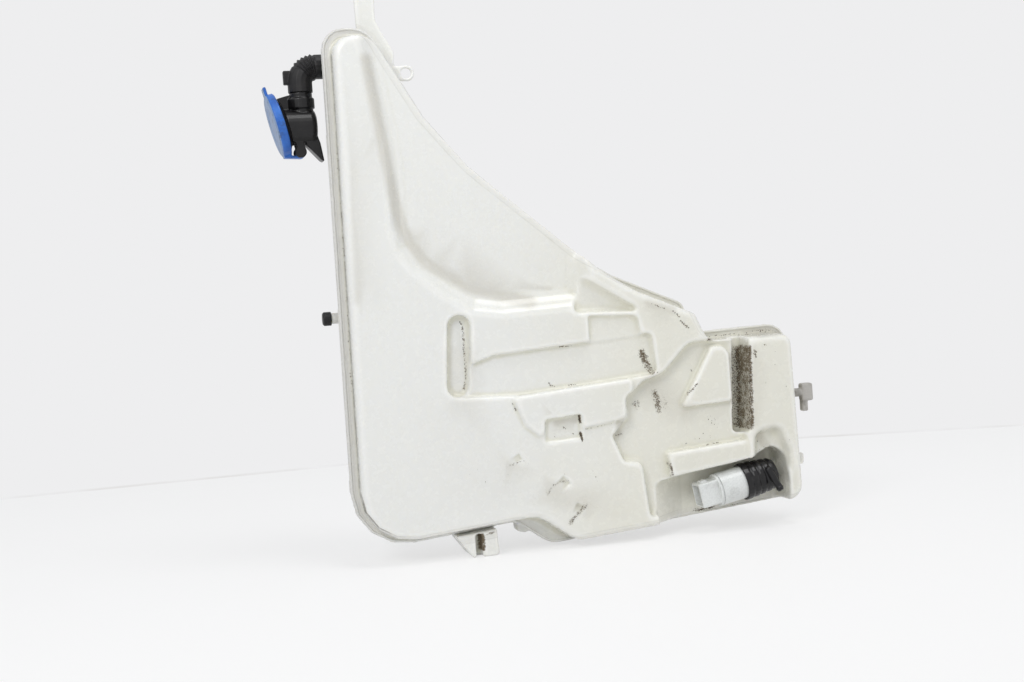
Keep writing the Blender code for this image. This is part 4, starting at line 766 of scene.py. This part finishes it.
soil = finish("dry_soil", paint_soil)
grain_mesh = bpy.data.meshes.new("dirt_grains")
grain_mesh.from_pydata(grain_points(tank_front.data), [], [])
grains = add_piece("dirt_grains", grain_mesh)
scatter = grains.modifiers.new("scatter", "NODES")
scatter.node_group = grain_tree()
set_inputs(scatter, {"Radius": GRAIN_RADIUS, "Seed": 3, "Dirt": soil})
baked(grains)
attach(grains, "tank")
print("the dirt has", triangles(grains) // STONE_FACES, "grains")

# %% [markdown]
# Black rubber and black moulded plastic differ in how they shine: rubber is dull and dusty, the
# plastic keeps a soft gloss. Both come from one recipe with a colour, a share of dust, a roughness
# and a grain. The cap is blue plastic that the sun has bleached on its face.

# %% Rubber and plastic
DUST = tone(120, 116, 108)


def worn(colour, dusty, rough, grain):
    """Plastic or rubber with a dusty film and a fine grain."""
    def paint(wire):
        cloud = wire.noise(70.0, 5.0, 0.6)
        fine = wire.noise(900.0, 3.0, 0.6)
        film = cloud.step(0.5, 0.7) * dusty
        lighter = tuple(min(1.0, part * 1.5 + 0.004) for part in colour[:3]) + (1.0,)
        base = fine.mix(colour, lighter)
        return {
            "Base Color": film.mix(base, DUST),
            "Roughness": rough + film * 0.3 + fine * 0.08,
            "Normal": wire.bump(fine + cloud * 2, grain * MM, 0.5),
        }
    return paint


rubber = finish("black_rubber", worn(tone(13, 12, 14), 0.05, 0.42, 0.05), Specular_IOR_Level=0.35)
black = finish("black_plastic", worn(tone(7, 6, 8), 0.02, 0.28, 0.03), Specular_IOR_Level=0.4)
white = finish("white_plastic", worn(tone(201, 203, 201), 0.2, 0.25, 0.03))
clip_grey = finish("clip_plastic", worn(tone(160, 157, 152), 0.95, 0.4, 0.06))
nylon = finish("nylon", worn(tone(214, 208, 190), 0.1, 0.4, 0.03))
ferrite = finish("ferrite", worn(tone(62, 62, 64), 0.1, 0.65, 0.05))


# %% The cap's blue plastic and the metals
def paint_cap(wire):
    """Blue plastic: bleached on the face, with dark smudges."""
    cloud = wire.noise(90.0, 5.0, 0.6)
    fine = wire.noise(1100.0, 3.0, 0.6)
    bleached = wire.attribute("face").step(0.2, 0.9) * (0.6 + cloud * 0.5)
    blue = cloud.step(0.3, 0.7).mix(tone(30, 88, 172), tone(48, 112, 200))
    colour = bleached.mix(blue, tone(136, 158, 186))
    colour = (wire.noise(140.0, 4.0, 0.6).step(0.5, 0.68) * 0.5).mix(colour, tone(44, 60, 84))
    return {
        "Base Color": colour,
        "Roughness": 0.34 + fine * 0.15,
        "Normal": wire.bump(fine, 0.04 * MM, 0.5),
    }


def paint_metal(colour, rough):
    """Drawn metal with a fine brushed grain along X."""
    def paint(wire):
        brushed = wire.noise(300.0, 3.0, 0.5, stretch=(0.1, 1, 1))
        return {
            "Base Color": brushed.mix(colour, tuple(part * 0.75 for part in colour[:3]) + (1.0,)),
            "Roughness": rough + brushed * 0.15,
            "Normal": wire.bump(brushed, 0.02 * MM, 0.4),
        }
    return paint


blue = finish("blue_plastic", paint_cap)
steel = finish("steel", paint_metal(tone(190, 192, 195), 0.25), Metallic=1.0)
copper = finish("copper", paint_metal(tone(214, 150, 110), 0.3), Metallic=1.0)
brass = finish("brass", paint_metal(tone(206, 180, 112), 0.28), Metallic=1.0)
print("finishes so far:", [made.name for made in bpy.data.materials])

# %% [markdown]
# Small moulded pieces get the same soft skin as the tank, with finer voxels, because every real
# moulding has rounded edges that catch the light.

# %% Skins of the filler, the cap and the pump's outer pieces
def dressed(name, node, material, body, voxel, smoothing=2):
    """A soft skin that stands for a CAD node and rides on its body."""
    skin = moulded_skin(name, node, voxel, smoothing)
    skin.data.materials.clear()
    skin.data.materials.append(material)
    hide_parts(node)
    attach(skin, body)
    return skin


dressed("funnel_head", "filler_funnel", black, "tank", 0.5 * MM)
cap_disc = dressed("cap_disc", "filler_cap", blue, "cap", 0.45 * MM)
dressed("pump_ribbed_head", "pump_head", black, "tank", 0.45 * MM)
dressed("pump_connector", "pump_end_cap", white, "tank", 0.4 * MM)
dressed("right_clip", "side_clip", clip_grey, "tank", 0.4 * MM)
dressed("peg_bumper", "peg_cap", rubber, "tank", 0.3 * MM)
dressed("elbow_hose", "filler_elbow", rubber, "tank", 0.35 * MM, smoothing=1)

# The cap's bleached face is the side that looks left when the cap is shut
store(cap_disc.data, "face", [float(point.normal.x < -0.8) for point in cap_disc.data.vertices])

# %% [markdown]
# The other CAD nodes keep their own solids, which are right as they are. Each one's slot gets the
# finish of its kind.

# %% Finishes for the nodes that stay
KEPT = {
    "cap_seal": rubber, "pump_terminal_1": brass, "pump_terminal_2": brass,
    "pump_motor_sleeve": white, "pump_motor_can": steel, "pump_magnet_1": ferrite,
    "pump_magnet_2": ferrite, "pump_shaft": steel, "pump_armature": copper,
    "pump_commutator": copper, "pump_brush_1": ferrite, "pump_brush_2": ferrite,
    "pump_bush_front": brass, "pump_bush_rear": brass, "pump_cover": black,
    "pump_shaft_seal": rubber, "pump_impeller": nylon, "pump_grommet": rubber,
    "pump_strainer": nylon,
}
for node, material in KEPT.items():
    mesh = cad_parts[node].data
    mesh.materials.clear()
    mesh.materials.append(material)
print("finished", len(KEPT), "CAD nodes")

# %% [markdown]
# The camera stands where the photographer stood: low, a little to the left, and turned by four
# degrees, so the tank leans to the left in the picture.

# %% Camera
IMAGE_WIDTH = 1024
FOCAL_PIXELS = 1450
AZIMUTH = radians(-14)
ELEVATION = radians(2.5)
ROLL = radians(4)
DISTANCE = 1105 * MM
TARGET = Vector((40, 0, 160)) * MM

back = Vector((sin(AZIMUTH) * cos(ELEVATION), -cos(AZIMUTH) * cos(ELEVATION), sin(ELEVATION)))
level = Vector((0, 0, 1)).cross(back).normalized()
upright = back.cross(level)
right = level * cos(ROLL) - upright * sin(ROLL)
up = level * sin(ROLL) + upright * cos(ROLL)
camera_data = bpy.data.cameras.new("camera")
camera_data.sensor_width = 36
camera_data.lens = camera_data.sensor_width * FOCAL_PIXELS / IMAGE_WIDTH
camera_data.clip_start = 20 * MM
camera = bpy.data.objects.new("camera", camera_data)
SCENE.collection.objects.link(camera)
camera.matrix_world = (Matrix.Translation(TARGET + back * DISTANCE)
                       @ Matrix((right, up, back)).transposed().to_4x4())
SCENE.camera = camera
print("the lens is", round(camera_data.lens), "mm and stands", round(DISTANCE / MM), "mm away")

# %% [markdown]
# The tank stands on a white floor in front of a pale wall. The floor is one wide disc: behind the
# tank it takes the wall's tone, which the world shows too, so the far part reads as the wall. The
# near part is plain and keeps the tank's shadow. A thin grey line of painted shade marks where
# floor and wall meet.
# The white is meant for the eye alone: the camera sees it, and so do glossy and clear surfaces,
# while the light that falls on the tank stays at a plain level.

# %% Who looks at a surface
def looked_at(wire):
    """1 for the camera, a reflection or a view through something clear, and 0 for falling light."""
    camera_ray, glossy_ray, clear_ray = [
        wire.node("ShaderNodeLightPath", out=name)
        for name in ("Is Camera Ray", "Is Glossy Ray", "Is Transmission Ray")]
    return camera_ray.over(glossy_ray).over(clear_ray)


# %% The floor and its far part
FLOOR_RADIUS = 6.0
WALL_TONE = tone(238, 238, 239)
WALL_START = 645 * MM
WALL_SLANT = 0.355
LIFT = 0.62


def paint_floor(wire):
    """A plain white floor, very slightly uneven."""
    cloud = wire.noise(6.0, 3.0)
    return {"Base Color": cloud.mix(tone(250, 250, 250), tone(246, 245, 244))}


def add_wall(material):
    """Gives the far part the wall's tone, and lifts the near part where it is looked at."""
    tree = material.node_tree
    wire = Wire(tree)
    near = Wire(tree, tree.nodes["Principled BSDF"].outputs[0])
    x, y, _ = wire.axes()
    behind = y + x.over(0.0) * WALL_SLANT - WALL_START
    # Painted shade: a thin grey line where the floor meets the wall.
    corner_shade_line = (1 - behind.size().step(0.002, 0.02)) * 0.6 * wire.noise(9.0, 4.0).step(0.3, 0.7)
    far_tone = corner_shade_line.mix(WALL_TONE, tone(212, 210, 206))
    glow = wire.node("ShaderNodeEmission", {"Color": far_tone, "Strength": 1.0})
    clean = wire.node("ShaderNodeEmission", {"Color": tone(253, 253, 253), "Strength": 1.0})
    lifted = wire.node("ShaderNodeMixShader", {0: looked_at(wire) * LIFT, 1: near, 2: clean})
    reach = (x * x + y * y) ** 0.5
    far = behind.step(-0.015, 0.0).over(reach.step(0.9, 2.2))
    faded = wire.node("ShaderNodeMixShader", {0: far, 1: lifted, 2: glow})
    tree.links.new(faded.socket, tree.nodes["Material Output"].inputs[0])


floor_shape = bmesh.new()
bmesh.ops.create_circle(floor_shape, cap_ends=True, segments=64, radius=FLOOR_RADIUS)
bmesh.ops.translate(floor_shape, vec=(0, 0, CAD_BOX[0][2]), verts=floor_shape.verts)
floor_mesh = bpy.data.meshes.new("floor")
floor_shape.to_mesh(floor_mesh)
floor_shape.free()
floor = add_piece("floor", floor_mesh)
pale_floor = finish("pale_floor", paint_floor, Roughness=0.6)
add_wall(pale_floor)
floor.data.materials.append(pale_floor)
print("the floor lies at", round(CAD_BOX[0][2] / MM, 1), "mm")

# %% The world
AMBIENT = 0.5
world = bpy.data.worlds.new("studio")
world.use_nodes = True
SCENE.world = world
background = world.node_tree.nodes["Background"]
seen = looked_at(Wire(world.node_tree))
for setting, value in (("Strength", seen * (1.0 - AMBIENT) + AMBIENT),
                       ("Color", seen.mix(tone(244, 247, 252), WALL_TONE))):
    world.node_tree.links.new(value.socket, background.inputs[setting])

# %% [markdown]
# Three square area lamps light the tank softly: a key from the upper left, one overhead and a weak
# one from the right. Large lamps close by give the broad, soft highlights of the photograph.

# %% Lamps
# Name, place in metres, width in metres and power in watts
LAMPS = [
    ("key", (-0.9, -1.2, 1.2), 0.6, 10.0),
    ("overhead", (0.35, -0.6, 1.8), 0.7, 9.0),
    ("side", (1.4, -1.2, 0.25), 0.8, 2.5),
]
for name, place, width, power in LAMPS:
    light = bpy.data.lights.new(name, "AREA")
    light.size = width
    light.energy = power
    lamp = bpy.data.objects.new(name, light)
    SCENE.collection.objects.link(lamp)
    lamp.location = place
    lamp.rotation_euler = (Vector(place) - TARGET).to_track_quat("Z", "Y").to_euler()
SCENE.view_settings.view_transform = "Standard"
print("lamps:", [name for name, *_ in LAMPS])
